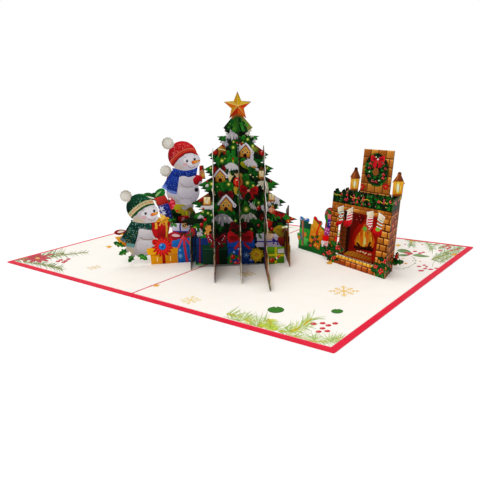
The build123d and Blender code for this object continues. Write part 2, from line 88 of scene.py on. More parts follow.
class Ink:
    """A flat colour, or a blend from one colour at p to another at q."""

    def __init__(self, a, b=None, p=None, q=None):
        self.key = (a, b, p, q)
        self.a, self.b = linear(a), linear(b) if b else None
        self.p, self.q = p, q

    def at(self, x, y):
        """Colour at a point of the panel."""
        if self.b is None:
            return self.a
        dx, dy = self.q[0] - self.p[0], self.q[1] - self.p[1]
        t = ((x - self.p[0]) * dx + (y - self.p[1]) * dy) / (dx * dx + dy * dy + 1e-9)
        t = min(1.0, max(0.0, t))
        return tuple(u + (v - u) * t for u, v in zip(self.a, self.b))


class Panel:
    """A flat sheet with its own x and y in millimetres, and the shapes printed on it in painter's order."""

    def __init__(self, origin, x_dir, y_dir):
        self.o, self.x, self.y = origin, x_dir.normalized(), y_dir.normalized()
        self.n = self.x.cross(self.y)
        self.shapes = []

    def point(self, x, y, off):
        """Place in space, in metres, of a point of the panel that lies so far off it."""
        return (self.o + self.x * x + self.y * y + self.n * off) / 1000

    def flat(self, v):
        """A place in space, as x, y and distance from the panel."""
        d = v * 1000 - self.o
        return d.dot(self.x), d.dot(self.y), d.dot(self.n)

    def pixel(self, u, v):
        """Where the line of sight through a pixel of the photograph meets the sheet."""
        ray = ahead + across * ((u - CX) / FOCAL) - upwards * ((v - CY) / FOCAL)
        k = (self.o - EYE).dot(self.n) / ray.dot(self.n)
        d = EYE + ray * k - self.o
        return d.dot(self.x), d.dot(self.y)


class Pen:
    """Draws with y downwards, in a window of the photograph or, when flat, of the panel's own millimetres."""

    def __init__(self, panel, x0, y0, scale, seed=1, flat=False):
        self.panel, self.x0, self.y0, self.s, self.flat = panel, x0, y0, scale, flat
        self.r = random.Random(seed)

    def put(self, p):
        """A point of the pen, in the panel's millimetres."""
        if self.flat:
            return (self.x0 + p[0] / self.s, self.y0 - p[1] / self.s)
        return self.panel.pixel(self.x0 + p[0] / self.s, self.y0 + p[1] / self.s)

    def poly(self, pts, ink, ink2=None, p=None, q=None):
        """Filled outline in one ink, or in a blend from p to q."""
        got = [self.put(t) for t in pts]
        if ink2:
            ink = Ink(ink, ink2, self.put(p), self.put(q))
        elif isinstance(ink, str):
            ink = Ink(ink)
        self.panel.shapes.append((got, ink))

    def box(self, x0, y0, x1, y1, *ink):
        """Filled rectangle."""
        self.poly([(x0, y0), (x1, y0), (x1, y1), (x0, y1)], *ink)

    def oval(self, x, y, rx, ry, *ink, n, turn=0.0):
        """Filled ellipse of n corners, turned by so many degrees."""
        c, s = cos(radians(turn)), sin(radians(turn))
        pts = []
        for i in range(n):
            a = radians(360 * i / n)
            u, v = rx * cos(a), ry * sin(a)
            pts.append((x + u * c - v * s, y + u * s + v * c))
        self.poly(pts, *ink)

    def curve(self, pts, n):
        """Closed smooth outline through the points."""
        out = []
        k = len(pts)
        for i in range(k):
            a, b, c, d = pts[i - 1], pts[i], pts[(i + 1) % k], pts[(i + 2) % k]
            for j in range(n):
                t = j / n
                out.append(tuple(
                    0.5 * (2 * b[m] + (c[m] - a[m]) * t + (2 * a[m] - 5 * b[m] + 4 * c[m] - d[m]) * t * t
                           + (3 * b[m] - a[m] - 3 * c[m] + d[m]) * t ** 3) for m in (0, 1)))
        return out

    def blob(self, pts, *ink, n=4):
        """Filled smooth outline."""
        self.poly(self.curve(pts, n), *ink)

    def line(self, pts, w, *ink, taper=False):
        """Stroke of width w along the points."""
        left, right = [], []
        k = len(pts)
        for i, (x, y) in enumerate(pts):
            ax, ay = pts[max(0, i - 1)]
            bx, by = pts[min(k - 1, i + 1)]
            dx, dy = bx - ax, by - ay
            m = hypot(dx, dy) or 1.0
            h = w / 2 * ((1 - i / (k - 1)) * 0.9 + 0.1 if taper else 1.0)
            left.append((x - dy / m * h, y + dx / m * h))
            right.append((x + dy / m * h, y - dx / m * h))
        self.poly(left + right[::-1], *ink)


def own_pen(panel, seed=1, x0=0.0, y0=0.0):
    """A pen in the panel's own millimetres, with its zero at x0, y0."""
    return Pen(panel, x0, y0, 1.0, seed, flat=True)


def loops_of(node, panel, half):
    """Outlines of the flat face of a node that looks along the panel's normal, in the panel's millimetres."""
    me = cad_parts[node].data
    edges, places = {}, {}
    for f in me.polygons:
        pts = [panel.flat(me.vertices[i].co) for i in f.vertices]
        if all(abs(p[2] - half) < 0.03 for p in pts):
            keys = [(round(p[0], 3), round(p[1], 3)) for p in pts]
            places.update((k, (p[0], p[1])) for k, p in zip(keys, pts))
            for a, b in zip(keys, keys[1:] + keys[:1]):
                if (b, a) in edges:
                    del edges[(b, a)]
                else:
                    edges[(a, b)] = True
    follow = {}
    for a, b in edges:
        follow.setdefault(a, []).append(b)
    loops = []
    while follow:
        start = next(iter(follow))
        loop, here = [], start
        while here in follow:
            loop.append(places[here])
            nxt = follow[here].pop()
            if not follow[here]:
                del follow[here]
            here = nxt
        if len(loop) > 2:
            loops.append(loop)
    return loops


def area(pts):
    """Area inside an outline, negative where it runs clockwise."""
    return sum(a[0] * b[1] - b[0] * a[1] for a, b in zip(pts, pts[1:] + pts[:1])) / 2


def bleed(keep, bare):
    """Gives each bare triangle the ink of the nearest printed one, so that no border is left along a cut."""
    sides = {}
    for k, (f, _) in enumerate(keep):
        for i in range(3):
            sides.setdefault(frozenset((f[i], f[(i + 1) % 3])), []).append(k)
    waiting = set(bare)
    edge = [k for k in range(len(keep)) if k not in waiting]
    while edge and waiting:
        ahead_of = []
        for k in edge:
            f, colour = keep[k]
            for i in range(3):
                for other in sides[frozenset((f[i], f[(i + 1) % 3]))]:
                    if other in waiting:
                        waiting.discard(other)
                        keep[other][1] = colour
                        ahead_of.append(other)
        edge = ahead_of


def thinned(vs, keep):
    """The same fields of colour, cut along their visible borders alone, which takes far fewer triangles."""
    sides = {}
    for f, colour in keep:
        for i in range(3):
            sides.setdefault(frozenset((f[i], f[(i + 1) % 3])), []).append(colour.key)
    near, rim = {}, set()
    for pair, keys in sides.items():
        if len(keys) == 1 or keys[0] != keys[1]:
            a, b = pair
            near.setdefault(a, set()).add(b)
            near.setdefault(b, set()).add(a)
            if len(keys) == 1:
                rim.update(pair)
    # Points that bend a border by less than the eye can see are left out.
    for v in list(near):
        if len(near[v]) != 2:
            continue
        a, b = near[v]
        p, q = vs[a] - vs[v], vs[b] - vs[v]
        off = abs(p.x * q.y - p.y * q.x) / max((p - q).length, 1e-6)
        if b not in near[a] and p.dot(q) < 0 and off < (RIM_BEND if v in rim else FIELD_BEND):
            near[a].remove(v)
            near[b].remove(v)
            near[a].add(b)
            near[b].add(a)
            del near[v]
    place = {v: n for n, v in enumerate(near)}
    borders = [(place[a], place[b]) for a in near for b in near[a] if a < b]
    corners, _, cells, _, _, _ = delaunay_2d_cdt([vs[v] for v in place], borders, [], 0, MERGE, False)
    old = BVHTree.FromPolygons([(v.x, v.y, 0.0) for v in vs], [f for f, _ in keep])
    out = []
    for f in cells:
        middle = (corners[f[0]] + corners[f[1]] + corners[f[2]]) / 3
        _, _, k, off = old.find_nearest(Vector((middle.x, middle.y, 0.0)))
        if off is not None and off < MERGE:
            out.append([f, keep[k][1]])
    return corners, out


def die_cut(panel, nodes, half):
    """Outer outlines and openings of the nodes that one print covers."""
    outer, holes = [], []
    for node in nodes:
        loops = loops_of(node, panel, half)
        big = max(loops, key=lambda p: abs(area(p)))
        for loop in loops:
            (outer if area(loop) * area(big) > 0 else holes).append(loop)
    return outer, holes


def fields_of(shapes, outer, holes, ground):
    """Corners and triangles with their inks: the shapes in painter's order, cut to the outlines."""
    polys = [(p, ground) for p in outer] + [(p, None) for p in holes] + shapes
    first = len(outer) + len(holes)
    verts, faces = [], []
    for pts, _ in polys:
        faces.append(list(range(len(verts), len(verts) + len(pts))))
        verts.extend(Vector(p) for p in (pts if area(pts) > 0 else pts[::-1]))
    vs, _, fs, _, _, origin = delaunay_2d_cdt(verts, [], faces, 1, MERGE, True)
    keep, bare = [], []
    for f, o in zip(fs, origin):
        on_card = any(i < len(outer) for i in o) and not any(len(outer) <= i < first for i in o)
        unprinted = on_card and max(o) < first
        if not on_card or (unprinted and ground is None):
            continue
        if unprinted:
            bare.append(len(keep))
        keep.append([f, polys[max(o)][1]])
    bleed(keep, bare)
    return thinned(vs, keep)


def print_sheet(name, panel, nodes, both=True, ink="1d3a1c", half=HALF_CARD,
                gap=INK_LIFT, painted_light_gain=1.0):
    """Turns a panel's shapes into one sheet of colour fields just off the card, cut to the node's outline; a
    gain above 1 raises its colours as painted light.
    """
    vs, keep = fields_of(panel.shapes, *die_cut(panel, nodes, half), Ink(ink) if ink else None)
    points, tris, cols = [], [], []
    for side in (1, -1) if both else (1,):
        count = len(points)
        points += [panel.point(v.x, v.y, side * (half + gap)) for v in vs]
        for f, colour in keep:
            corners = list(f)[::side]
            tris.append(tuple(i + count for i in corners))
            for i in corners:
                # The gain brightens the print as painted light.
                cols.extend(min(1.0, c * painted_light_gain) for c in colour.at(vs[i].x, vs[i].y))
                cols.append(1.0)
    me = bpy.data.meshes.new(name)
    me.from_pydata(points, [], tris)
    layer = me.color_attributes.new("Print", "FLOAT_COLOR", "CORNER")
    layer.data.foreach_set("color", cols)
    me.materials.append(PRINTED)
    o = bpy.data.objects.new(name, me)
    bpy.context.scene.collection.objects.link(o)
    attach(o, "root")


def new_material(name):
    """A new material, with its nodes and its main shader."""
    m = bpy.data.materials.new(name)
    m.use_nodes = True
    return m, m.node_tree, m.node_tree.nodes["Principled BSDF"]


def noise(tree, coords, scale, detail):
    """Noise over the object's own coordinates."""
    n = tree.nodes.new("ShaderNodeTexNoise")
    n.inputs["Scale"].default_value = scale
    n.inputs["Detail"].default_value = detail
    tree.links.new(coords.outputs["Object"], n.inputs["Vector"])
    return n


def ramp(tree, source, low, high, a, b):
    """Maps a value from low..high to a..b."""
    r = tree.nodes.new("ShaderNodeMapRange")
    r.inputs["From Min"].default_value, r.inputs["From Max"].default_value = low, high
    r.inputs["To Min"].default_value, r.inputs["To Max"].default_value = a, b
    tree.links.new(source, r.inputs["Value"])
    return r


def bump(tree, shader, source, strength, distance):
    """Raises and sinks a shader's surface by a texture."""
    b = tree.nodes.new("ShaderNodeBump")
    b.inputs["Strength"].default_value = strength
    b.inputs["Distance"].default_value = distance
    tree.links.new(source, b.inputs["Height"])
    tree.links.new(b.outputs["Normal"], shader.inputs["Normal"])


def tinted(tree, colour, factor):
    """A colour times a grey factor."""
    mix = tree.nodes.new("ShaderNodeMix")
    mix.data_type, mix.blend_type = "RGBA", "MULTIPLY"
    mix.inputs["Factor"].default_value = 1.0
    if isinstance(colour, tuple):
        mix.inputs["A"].default_value = (*colour, 1)
    else:
        tree.links.new(colour, mix.inputs["A"])
    tree.links.new(factor, mix.inputs["B"])
    return mix.outputs["Result"]


def blended(tree, factor, a, b):
    """One colour running into another."""
    mix = tree.nodes.new("ShaderNodeMix")
    mix.data_type = "RGBA"
    for name, colour in (("A", a), ("B", b)):
        if isinstance(colour, tuple):
            mix.inputs[name].default_value = (*colour, 1)
        else:
            tree.links.new(colour, mix.inputs[name])
    tree.links.new(factor.outputs["Result"], mix.inputs["Factor"])
    return mix.outputs["Result"]


def paper(name, colour, rough, grain, spread, depth, shine):
    """Card stock: one colour with a faint cloudiness, a fibre grain and a soft sheen."""
    m, tree, shader = new_material(name)
    coords = tree.nodes.new("ShaderNodeTexCoord")
    cloud = noise(tree, coords, 90.0, 4.0)
    fibre = noise(tree, coords, grain, 6.0)
    tone = ramp(tree, cloud.outputs["Fac"], 0.3, 0.7, 1.0 - spread, 1.0 + spread)
    tree.links.new(tinted(tree, linear(colour), tone.outputs["Result"]), shader.inputs["Base Color"])
    gloss = ramp(tree, fibre.outputs["Fac"], 0.3, 0.7, rough - 0.06, rough + 0.06)
    tree.links.new(gloss.outputs["Result"], shader.inputs["Roughness"])
    shader.inputs["Specular IOR Level"].default_value = shine
    bump(tree, shader, fibre.outputs["Fac"], 0.35, depth)
    return m


def printed():
    """Coated card: the printed colours with a fine mottle of ink, a fibre grain and a satin sheen."""
    m, tree, shader = new_material("printed_card_ink")
    coords = tree.nodes.new("ShaderNodeTexCoord")
    layer = tree.nodes.new("ShaderNodeVertexColor")
    layer.layer_name = "Print"
    mottle = noise(tree, coords, 1100.0, 3.0)
    fibre = noise(tree, coords, 3500.0, 4.0)
    tone = ramp(tree, mottle.outputs["Fac"], 0.3, 0.7, 0.8, 0.94)
    deep = tree.nodes.new("ShaderNodeGamma")
    deep.inputs["Gamma"].default_value = 1.15
    tree.links.new(layer.outputs["Color"], deep.inputs["Color"])
    tree.links.new(tinted(tree, deep.outputs["Color"], tone.outputs["Result"]), shader.inputs["Base Color"])
    gloss = ramp(tree, fibre.outputs["Fac"], 0.3, 0.7, 0.42, 0.56)
    tree.links.new(gloss.outputs["Result"], shader.inputs["Roughness"])
    shader.inputs["Specular IOR Level"].default_value = 0.06
    bump(tree, shader, fibre.outputs["Fac"], 0.25, 0.00003)
    return m


def cut_edge(name, dark, pale, upper):
    """Laser-cut edge of the card: paper scorched brown in streaks, and another tone higher up, which is
    painted light standing in for how light falls on the edge's upper part.
    """
    m, tree, shader = new_material(name)
    coords = tree.nodes.new("ShaderNodeTexCoord")
    scorch = noise(tree, coords, 190.0, 5.0)
    low = blended(tree, ramp(tree, scorch.outputs["Fac"], 0.4, 0.6, 0.0, 1.0), linear(dark), linear(pale))
    height = tree.nodes.new("ShaderNodeSeparateXYZ")
    tree.links.new(coords.outputs["Object"], height.inputs["Vector"])
    # Painted light: above 28 mm the edge runs into the upper tone.
    result = blended(tree, ramp(tree, height.outputs["Z"], 0.028, 0.05, 0.0, 1.0), low, linear(upper))
    tree.links.new(result, shader.inputs["Base Color"])
    shader.inputs["Roughness"].default_value = 0.75
    shader.inputs["Specular IOR Level"].default_value = 0.15
    bump(tree, shader, scorch.outputs["Fac"], 0.3, 0.00005)
    return m


PRINTED = printed()
# Above 28 mm each edge runs into its upper tone, which is painted light: an even brown on most edges, a
# painted highlight on the left and right cross slices and painted shade on the middle one.
EDGE = cut_edge("cut_edge", dark="3a2212", pale="a08464", upper="5a4a34")
EDGE_PAINTED_HIGHLIGHT = cut_edge("cut_edge_painted_highlight", dark="4a2a1a", pale="c8ac8c", upper="e2ddd8")
EDGE_PAINTED_SHADE = cut_edge("cut_edge_painted_shade", dark="6a4a30", pale="e0d4b8", upper="2a2a18")
RED = paper("red_cover_card", "dc1838", rough=0.5, grain=1800.0, spread=0.05, depth=0.00003, shine=0.12)
CREAM = paper("page_paper", "f5f0e8", rough=0.62, grain=1500.0, spread=0.012, depth=0.00004, shine=0.2)

# The left and right cross slices take the edge with the painted highlight, and the middle one the edge with
# painted shade.
STOCKS = {"cover": RED, "left_page": CREAM, "right_page": CREAM, "cross_slice_left": EDGE_PAINTED_HIGHLIGHT,
          "cross_slice_right": EDGE_PAINTED_HIGHLIGHT, "cross_slice_middle": EDGE_PAINTED_SHADE}

for name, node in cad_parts.items():
    node.data.materials.clear()
    node.data.materials.append(STOCKS.get(name, EDGE))


def facing(back):
    """Panel of a slice that faces the viewer, so far behind the main face."""
    return Panel(lattice - cross_dir * back, face_dir, UP)


def crossing(offset):
    """Panel of a slice that crosses them, so far along the main face."""
    n = UP * sin(LEAN_TREE) - face_dir * cos(LEAN_TREE)
    return Panel(lattice + face_dir * offset, cross_dir, n.cross(cross_dir))


def on_hearth(back):
    """Panel that leans with the fireplace, so far behind its front."""
    return Panel(hearth + hearth_back * back, hearth_dir, hearth_up)


def polar(x, y, r, a):
    """The point at distance r and angle a from x, y."""
    return x + r * cos(a), y + r * sin(a)


def each(motif, pen, places, *more):
    """Draws a motif at each of its places."""
    for place in places:
        motif(pen, *place, *more)


def along(points, shares):
    """Places at the same shares of each stretch of a line, with the stretch's direction."""
    for (x0, y0), (x1, y1) in zip(points, points[1:]):
        for t in shares:
            yield x0 + (x1 - x0) * t, y0 + (y1 - y0) * t, atan2(y1 - y0, x1 - x0)


def dash(pen, x, y, r, a, w, ink):
    """Straight stroke through a point, r long to each side of it."""
    u, v = r * cos(a), r * sin(a)
    pen.line([(x - u, y - v), (x + u, y + v)], w, ink)


def asterisk(pen, x, y, r, turn, ink):
    """Four thin strokes through one point."""
    for k in range(4):
        dash(pen, x, y, r, radians(45 * k + turn), 5, ink)


def wool(pen, rows, inks, w):
    """Rows of short knitted stitches along each line of points."""
    for (x0, y0), (x1, y1), n in rows:
        for i in range(n):
            t = (i + 0.5) / n
            x, y = x0 + (x1 - x0) * t, y0 + (y1 - y0) * t
            d = atan2(y1 - y0, x1 - x0) + radians(62)
            r = w * pen.r.uniform(0.7, 1.1)
            dash(pen, x, y, r, d, w * 0.8, pen.r.choice(inks))


def leaf(pen, x, y, length, turn, ink="1f6b26", vein="5fa04c", fat=0.3):
    """Holly leaf with spikes on both edges and a pale vein."""
    edge = ((0.0, 0.0), (0.2, 0.66), (0.34, 0.45), (0.5, 1.0), (0.64, 0.5), (0.78, 0.62), (1.0, 0.0))
    c, s = cos(radians(turn)), sin(radians(turn))
    pts = [(u, v * fat) for u, v in edge] + [(u, -v * fat) for u, v in reversed(edge[1:-1])]
    pen.poly([(x + length * (u * c - v * s), y + length * (u * s + v * c)) for u, v in pts], ink)
    pen.line([(x, y), (x + length * 0.86 * c, y + length * 0.86 * s)], length * 0.05, vein)


def berry(pen, x, y, r, ink="c0141e"):
    """Round berry with a dark rim and a glint."""
    pen.oval(x, y, r, r, "5c0810", n=10)
    pen.oval(x, y, r * 0.88, r * 0.88, ink, n=10)
    pen.oval(x - r * 0.3, y - r * 0.32, r * 0.26, r * 0.24, "f4b8b0", n=6)


def burst(pen, x, y, r, notch, n, ink, turn=0.0):
    """Star with n points."""
    pts = [polar(x, y, notch if i % 2 else r, radians(turn + 180 * i / n)) for i in range(2 * n)]
    pen.poly(pts, ink)


def bobble(pen, x, y, r):
    """Woollen bobble with short strands round it."""
    burst(pen, x, y, r * 1.06, r * 0.97, 17, "bdb6a8")
    burst(pen, x - r * 0.03, y - r * 0.04, r * 0.97, r * 0.88, 15, "d6d1c6")
    pen.oval(x - r * 0.12, y - r * 0.16, r * 0.62, r * 0.58, "e3dfd6", n=12)
    for i in range(20):
        a = radians(18 * i + pen.r.uniform(-5, 5))
        q = r * pen.r.uniform(0.45, 0.66)
        strand = [polar(x, y, q, a), polar(x, y, r * 0.95, a)]
        pen.line(strand, r * 0.045, pen.r.choice(("c2bbae", "b1a998", "e9e6df")))


def turned(x, y, size, turn=0.0):
    """Maps a motif's own unit coordinates to the pen's."""
    c, s = cos(radians(turn)) * size, sin(radians(turn)) * size
    return lambda pts: [(x + u * c - v * s, y + u * s + v * c) for u, v in pts]


def fan(pen, x, y, r, a0, a1, n, w, inks):
    """Tuft of tapering needles from one point."""
    for i in range(n):
        a = radians(a0 + (a1 - a0) * (i + pen.r.uniform(0.2, 0.8)) / n)
        q = r * pen.r.uniform(0.7, 1.15)
        c, s = cos(a), sin(a)
        pen.poly([(x - s * w / 2, y + c * w / 2), (x + q * c, y + q * s), (x + s * w / 2, y - c * w / 2)],
                 pen.r.choice(inks))


DARK_NEEDLES = ("07200a", "040f04", "0a2c0e", "12240a", "020a03")
NEEDLES = ("0c4a14", "12601a", "0a3a10", "1c701e", "07280b")
BRIGHT_NEEDLES = ("1a741c", "2a8a2a", "14601a", "44a036", "07300c")


def needle_inks(pen, bright, plain):
    """Inks of a tuft: bright for one share of them, plain for a share of the rest, and dark."""
    if pen.r.random() < bright:
        return BRIGHT_NEEDLES
    return NEEDLES if pen.r.random() < plain else DARK_NEEDLES


def bough(pen, x, y, r, turn, inks=BRIGHT_NEEDLES):
    """Fir bough: a spray of needles along a short stem, bright on top and dark at its end."""
    put = turned(x, y, r, turn)
    pen.blob(put([(-0.3, 0.0), (0.1, -0.42), (0.8, -0.5), (1.3, -0.3), (1.5, 0.0), (1.3, 0.3), (0.8, 0.5),
                  (0.1, 0.42)]), inks[1], inks[-1], *put([(0.0, 0.0), (1.35, 0.0)]), n=3)
    for t in (0.0, 0.25, 0.5, 0.75, 1.0):
        fan(pen, *polar(x, y, r * t, radians(turn)), r * (0.62 - 0.22 * t), turn - 75 + 20 * t,
            turn + 75 - 20 * t, 7, r * 0.1, inks)


def fir(pen, height, reach, rows, first=0.06):
    """Needles over a whole cone whose tip is the pen's zero, in rows from the bottom up."""
    for k in range(rows, 0, -1):
        y = height * (first + (1 - first) * k / rows)
        half = reach * y / height
        n = max(2, int(half * 2 / 6.0))
        for i in range(n + 1):
            u = -1 + 2 * i / n
            x = half * u + pen.r.uniform(-1.5, 1.5)
            inks = needle_inks(pen, 0.06, 0.36)
            lean = 90 - 42 * u
            fan(pen, x, y - 5 + pen.r.uniform(-1.5, 1.5), 6.4, lean - 48, lean + 48, 6, 1.15, inks)


def glow(pen, x, y, r):
    """Tree light in its own halo."""
    for k, ink in ((1.9, "1e5c18"), (1.4, "3f7a1c"), (1.0, "8ca42e"), (0.68, "cfc850"), (0.4, "f6efa6")):
        pen.oval(x, y, r * k, r * k * 1.05, ink, n=12)


def snow(pen, x, y, w, h, turn, ink, n):
    """Snow on a bough: lobes spread from the top like fingers."""
    put = turned(x, y, 1.0, turn)
    lobes = []
    for i in range(n):
        u = -1 + 2 * (i + 0.5) / n
        a = radians(90 - 42 * u)
        d = h * (1.0 - 0.25 * abs(u)) * pen.r.uniform(0.6, 1.16)
        bx, by = 0.34 * w * u, -0.12 * h * (1 - abs(u))
        lobes.append([polar(bx, by, d * k, a) for k in (0.2, 0.4, 0.7, 0.9)])
    wide = w / n * 1.06
    cap = [(-w * 0.34, h * 0.2), (-w * 0.28, -h * 0.08), (0.0, -h * 0.24), (w * 0.28, -h * 0.08),
           (w * 0.34, h * 0.2), (0.0, h * 0.36)]
    pen.blob(put([(u * 1.1, v * 1.1 + h * 0.05) for u, v in cap]), "14241c", n=3)
    for grow, tint in ((1.16, "2a3a30"), (1.0, ink)):
        for lobe in lobes:
            pen.line(put(lobe), wide * grow, tint)
            pen.oval(*put(lobe[-1:])[0], wide * 0.5 * grow, wide * 0.56 * grow, tint, n=8)
    pen.blob(put(cap), ink, n=3)
    for lobe in lobes[::2]:
        pen.line(put(lobe[:3]), wide * 0.42, "dedad2")


def house(pen, x, y, w, turn=0.0):
    """Gingerbread house with a snowy roof, on the middle of its sill."""
    put = turned(x, y, w, turn)
    pen.poly(put([(-0.47, 0.03), (0.47, 0.03), (0.47, -0.58), (0.0, -1.06), (-0.47, -0.58)]), "7a3a12")
    pen.poly(put([(-0.42, 0.0), (0.42, 0.0), (0.42, -0.55), (0.0, -1.0), (-0.42, -0.55)]), "f0bf58", "c98430",
             *put([(0, -0.9), (0.2, 0)]))
    for u, v in ((-0.34, -0.08), (-0.34, -0.3), (0.34, -0.08), (0.34, -0.3), (-0.12, -0.6), (0.12, -0.6),
                 (0.0, -0.8)):
        pen.oval(*put([(u, v)])[0], w * 0.035, w * 0.035, "8a4a16", n=6)
    pen.line(put([(-0.42, -0.52), (0.0, -0.96), (0.42, -0.52)]), w * 0.08, "a8401c")
    pen.line(put([(-0.6, -0.44), (-0.3, -0.82), (0.0, -1.14), (0.3, -0.84), (0.6, -0.48)]), w * 0.2, "a9a2ac")
    pen.line(put([(-0.6, -0.48), (-0.3, -0.86), (0.0, -1.18), (0.3, -0.88), (0.6, -0.52)]), w * 0.14,
             "ece8ee")
    pen.oval(*put([(0.62, -0.42)])[0], w * 0.14, w * 0.15, "e4e0e6", n=12)
    pen.oval(*put([(0.62, -0.42)])[0], w * 0.06, w * 0.07, "a8a0a8", n=8)
    for u, v, r in ((-0.2, -0.42, 0.07), (0.2, -0.42, 0.07), (0.0, -0.66, 0.055)):
        pen.oval(*put([(u, v)])[0], w * (r + 0.025), w * (r + 0.03), "fbe6a4", n=10)
        pen.oval(*put([(u, v)])[0], w * r, w * (r + 0.01), "321006", n=10)
    pen.blob(put([(-0.15, 0.0), (-0.15, -0.2), (0.0, -0.33), (0.15, -0.2), (0.15, 0.0)]), "8a4a16", n=3)
    pen.blob(put([(-0.11, 0.0), (-0.11, -0.18), (0.0, -0.28), (0.11, -0.18), (0.11, 0.0)]), "2a0a05", n=3)


def ball(pen, x, y, r, ink="d42a18", dark="8c0c10"):
    """Glass ball with a gold cap, a shaded side and a glint."""
    pen.oval(x, y - r * 1.12, r * 0.24, r * 0.22, "caa050", n=8)
    pen.oval(x, y, r, r, dark, n=20)
    pen.oval(x - r * 0.07, y - r * 0.07, r * 0.87, r * 0.87, ink, n=20)
    pen.line([(x + r * 0.2, y - r * 0.9), (x + r * 0.45, y - r * 0.3), (x + r * 0.4, y + r * 0.5),
              (x + r * 0.15, y + r * 0.9)], r * 0.16, dark)
    pen.line([(x - r * 0.5, y - r * 0.6), (x - r * 0.62, y), (x - r * 0.45, y + r * 0.55)], r * 0.12,
             "f08050")
    pen.oval(x - r * 0.3, y - r * 0.42, r * 0.22, r * 0.15, "fbd5bc", turn=-30, n=8)


def bow(pen, x, y, r, ink, dark, turn=0.0, tails=True, dots=None):
    """Ribbon bow: two folded loops, two notched tails and a knot."""
    put = turned(x, y, r, turn)
    for m in (-1, 1):
        if tails:
            pen.poly(put([(0.02 * m, 0.05), (0.34 * m, 0.45), (0.42 * m, 0.95), (0.62 * m, 0.84),
                          (0.82 * m, 0.86), (0.6 * m, 0.4), (0.18 * m, 0.0)]), ink, dark,
                     *put([(0.1 * m, 0.1), (0.6 * m, 0.9)]))
        pen.blob(put([(0.0, 0.0), (0.3 * m, -0.34), (0.72 * m, -0.62), (0.98 * m, -0.5), (1.02 * m, -0.08),
                      (0.86 * m, 0.28), (0.42 * m, 0.2)]), ink, dark,
                 *put([(0.9 * m, -0.4), (0.1 * m, 0.1)]))
        pen.blob(put([(0.22 * m, -0.08), (0.5 * m, -0.26), (0.82 * m, -0.22), (0.78 * m, 0.02),
                      (0.46 * m, 0.05)]), dark, n=3)
        pen.line(put([(0.1 * m, -0.12), (0.45 * m, -0.4), (0.8 * m, -0.5)]), r * 0.05, dark)
        for u, v in dots or ():
            pen.oval(*put([(u * m, v)])[0], r * 0.06, r * 0.06, "f2e6e8", n=6)
    pen.oval(x, y, r * 0.19, r * 0.22, dark, n=12)
    pen.oval(x - r * 0.02, y - r * 0.03, r * 0.14, r * 0.16, ink, n=12)


def flower(pen, x, y, r, ink, dark, core, n, turn=0.0):
    """Pointed petals in two rings round a heart."""
    for ring, (q, tint) in enumerate(((1.0, dark), (0.78, ink))):
        for i in range(n):
            put = turned(x, y, r * q, turn + 360 * (i + 0.5 * ring) / n)
            pen.poly(put([(0.0, -0.1), (0.32, -0.24), (0.62, -0.2), (1.0, 0.0), (0.62, 0.2), (0.32, 0.24),
                          (0.0, 0.1)]), tint)
            pen.line(put([(0.1, 0.0), (0.82, 0.0)]), r * 0.035, dark if ring else ink)
    pen.oval(x, y, r * 0.2, r * 0.2, core, n=12)
    for i in range(5):
        pen.oval(*polar(x, y, r * 0.09, radians(72 * i)), r * 0.05, r * 0.05, "f2d25a", n=6)


def swirl(pen, x, y, r, ground, ink):
    """Round sweet with a spiral."""
    pen.oval(x, y, r * 1.1, r * 1.1, ink, n=20)
    pen.oval(x, y, r, r, ground, n=20)
    spiral = [polar(x, y, r * (0.92 - 0.05 * i), 0.55 * i) for i in range(18)]
    pen.line(spiral, r * 0.16, ink)


def lantern(pen, x, y, w):
    """Lantern with a brown cap and glowing panes, round its middle."""
    put = turned(x, y, w)
    pen.poly(put([(-0.52, -0.5), (-0.2, -0.86), (0.0, -1.05), (0.2, -0.86), (0.52, -0.5)]), "8a5420",
             "4e2a0e", *put([(0, -0.9), (0.3, -0.5)]))
    pen.poly(put([(-0.44, -0.5), (0.44, -0.5), (0.4, 0.46), (-0.4, 0.46)]), "fdf3c4", "e3a640",
             *put([(0, -0.3), (0, 0.46)]))
    pen.oval(*put([(0.0, 0.1)])[0], w * 0.14, w * 0.26, "fffbe6", n=12)
    for u in (-0.42, 0.0, 0.42):
        pen.line(put([(u, -0.5), (u * 0.95, 0.46)]), w * 0.06, "a8702a")
    pen.poly(put([(-0.52, 0.42), (0.52, 0.42), (0.46, 0.6), (-0.46, 0.6)]), "9a6424")


def gingerbread(pen, x, y, r, turn):
    """Gingerbread man with icing at its hands and feet."""
    put = turned(x, y, r, turn)
    for u, v in ((0.55, -0.3), (-0.55, -0.3), (0.34, 0.85), (-0.34, 0.85)):
        pen.line(put([(0, 0.1), (u, v)]), r * 0.42, "a8662a")
        pen.line(put([(0, 0.1), (u * 0.96, v * 0.96)]), r * 0.34, "d99a44")
        pen.line(put([(u * 0.72, v * 0.72 - 0.08), (u * 0.84, v * 0.84 + 0.08)]), r * 0.06, "fdf0d2")
    pen.oval(*put([(0.0, -0.6)])[0], r * 0.4, r * 0.38, "a8662a", n=14)
    pen.oval(*put([(0.0, -0.6)])[0], r * 0.36, r * 0.34, "e0a650", n=14)
    pen.oval(*put([(0.0, 0.15)])[0], r * 0.32, r * 0.45, "dc9e48", n=14)
    for u, v, ink in ((-0.13, -0.66, "3a1408"), (0.13, -0.66, "3a1408"), (0.0, 0.02, "c02018"),
                      (0.0, 0.26, "c02018")):
        pen.oval(*put([(u, v)])[0], r * 0.055, r * 0.055, ink, n=6)


def box_print(pen, x0, y0, x1, y1, lid, ink, dark, ribbon, at):
    """Gift box with its lid on and one ribbon round it."""
    pen.box(x0, y0, x1, y1, ink, dark, (x0, y0), (x1, y1))
    pen.box(x0 - 0.03 * (x1 - x0), y0, x1 + 0.03 * (x1 - x0), y0 + lid, ink)
    pen.line([(x0, y0 + lid), (x1, y0 + lid)], (y1 - y0) * 0.03, dark)
    x = x0 + (x1 - x0) * at
    w = (x1 - x0) * 0.055
    pen.box(x - w, y0, x + w, y1, ribbon)
    pen.line([(x + w, y0), (x + w, y1)], w * 0.4, dark)


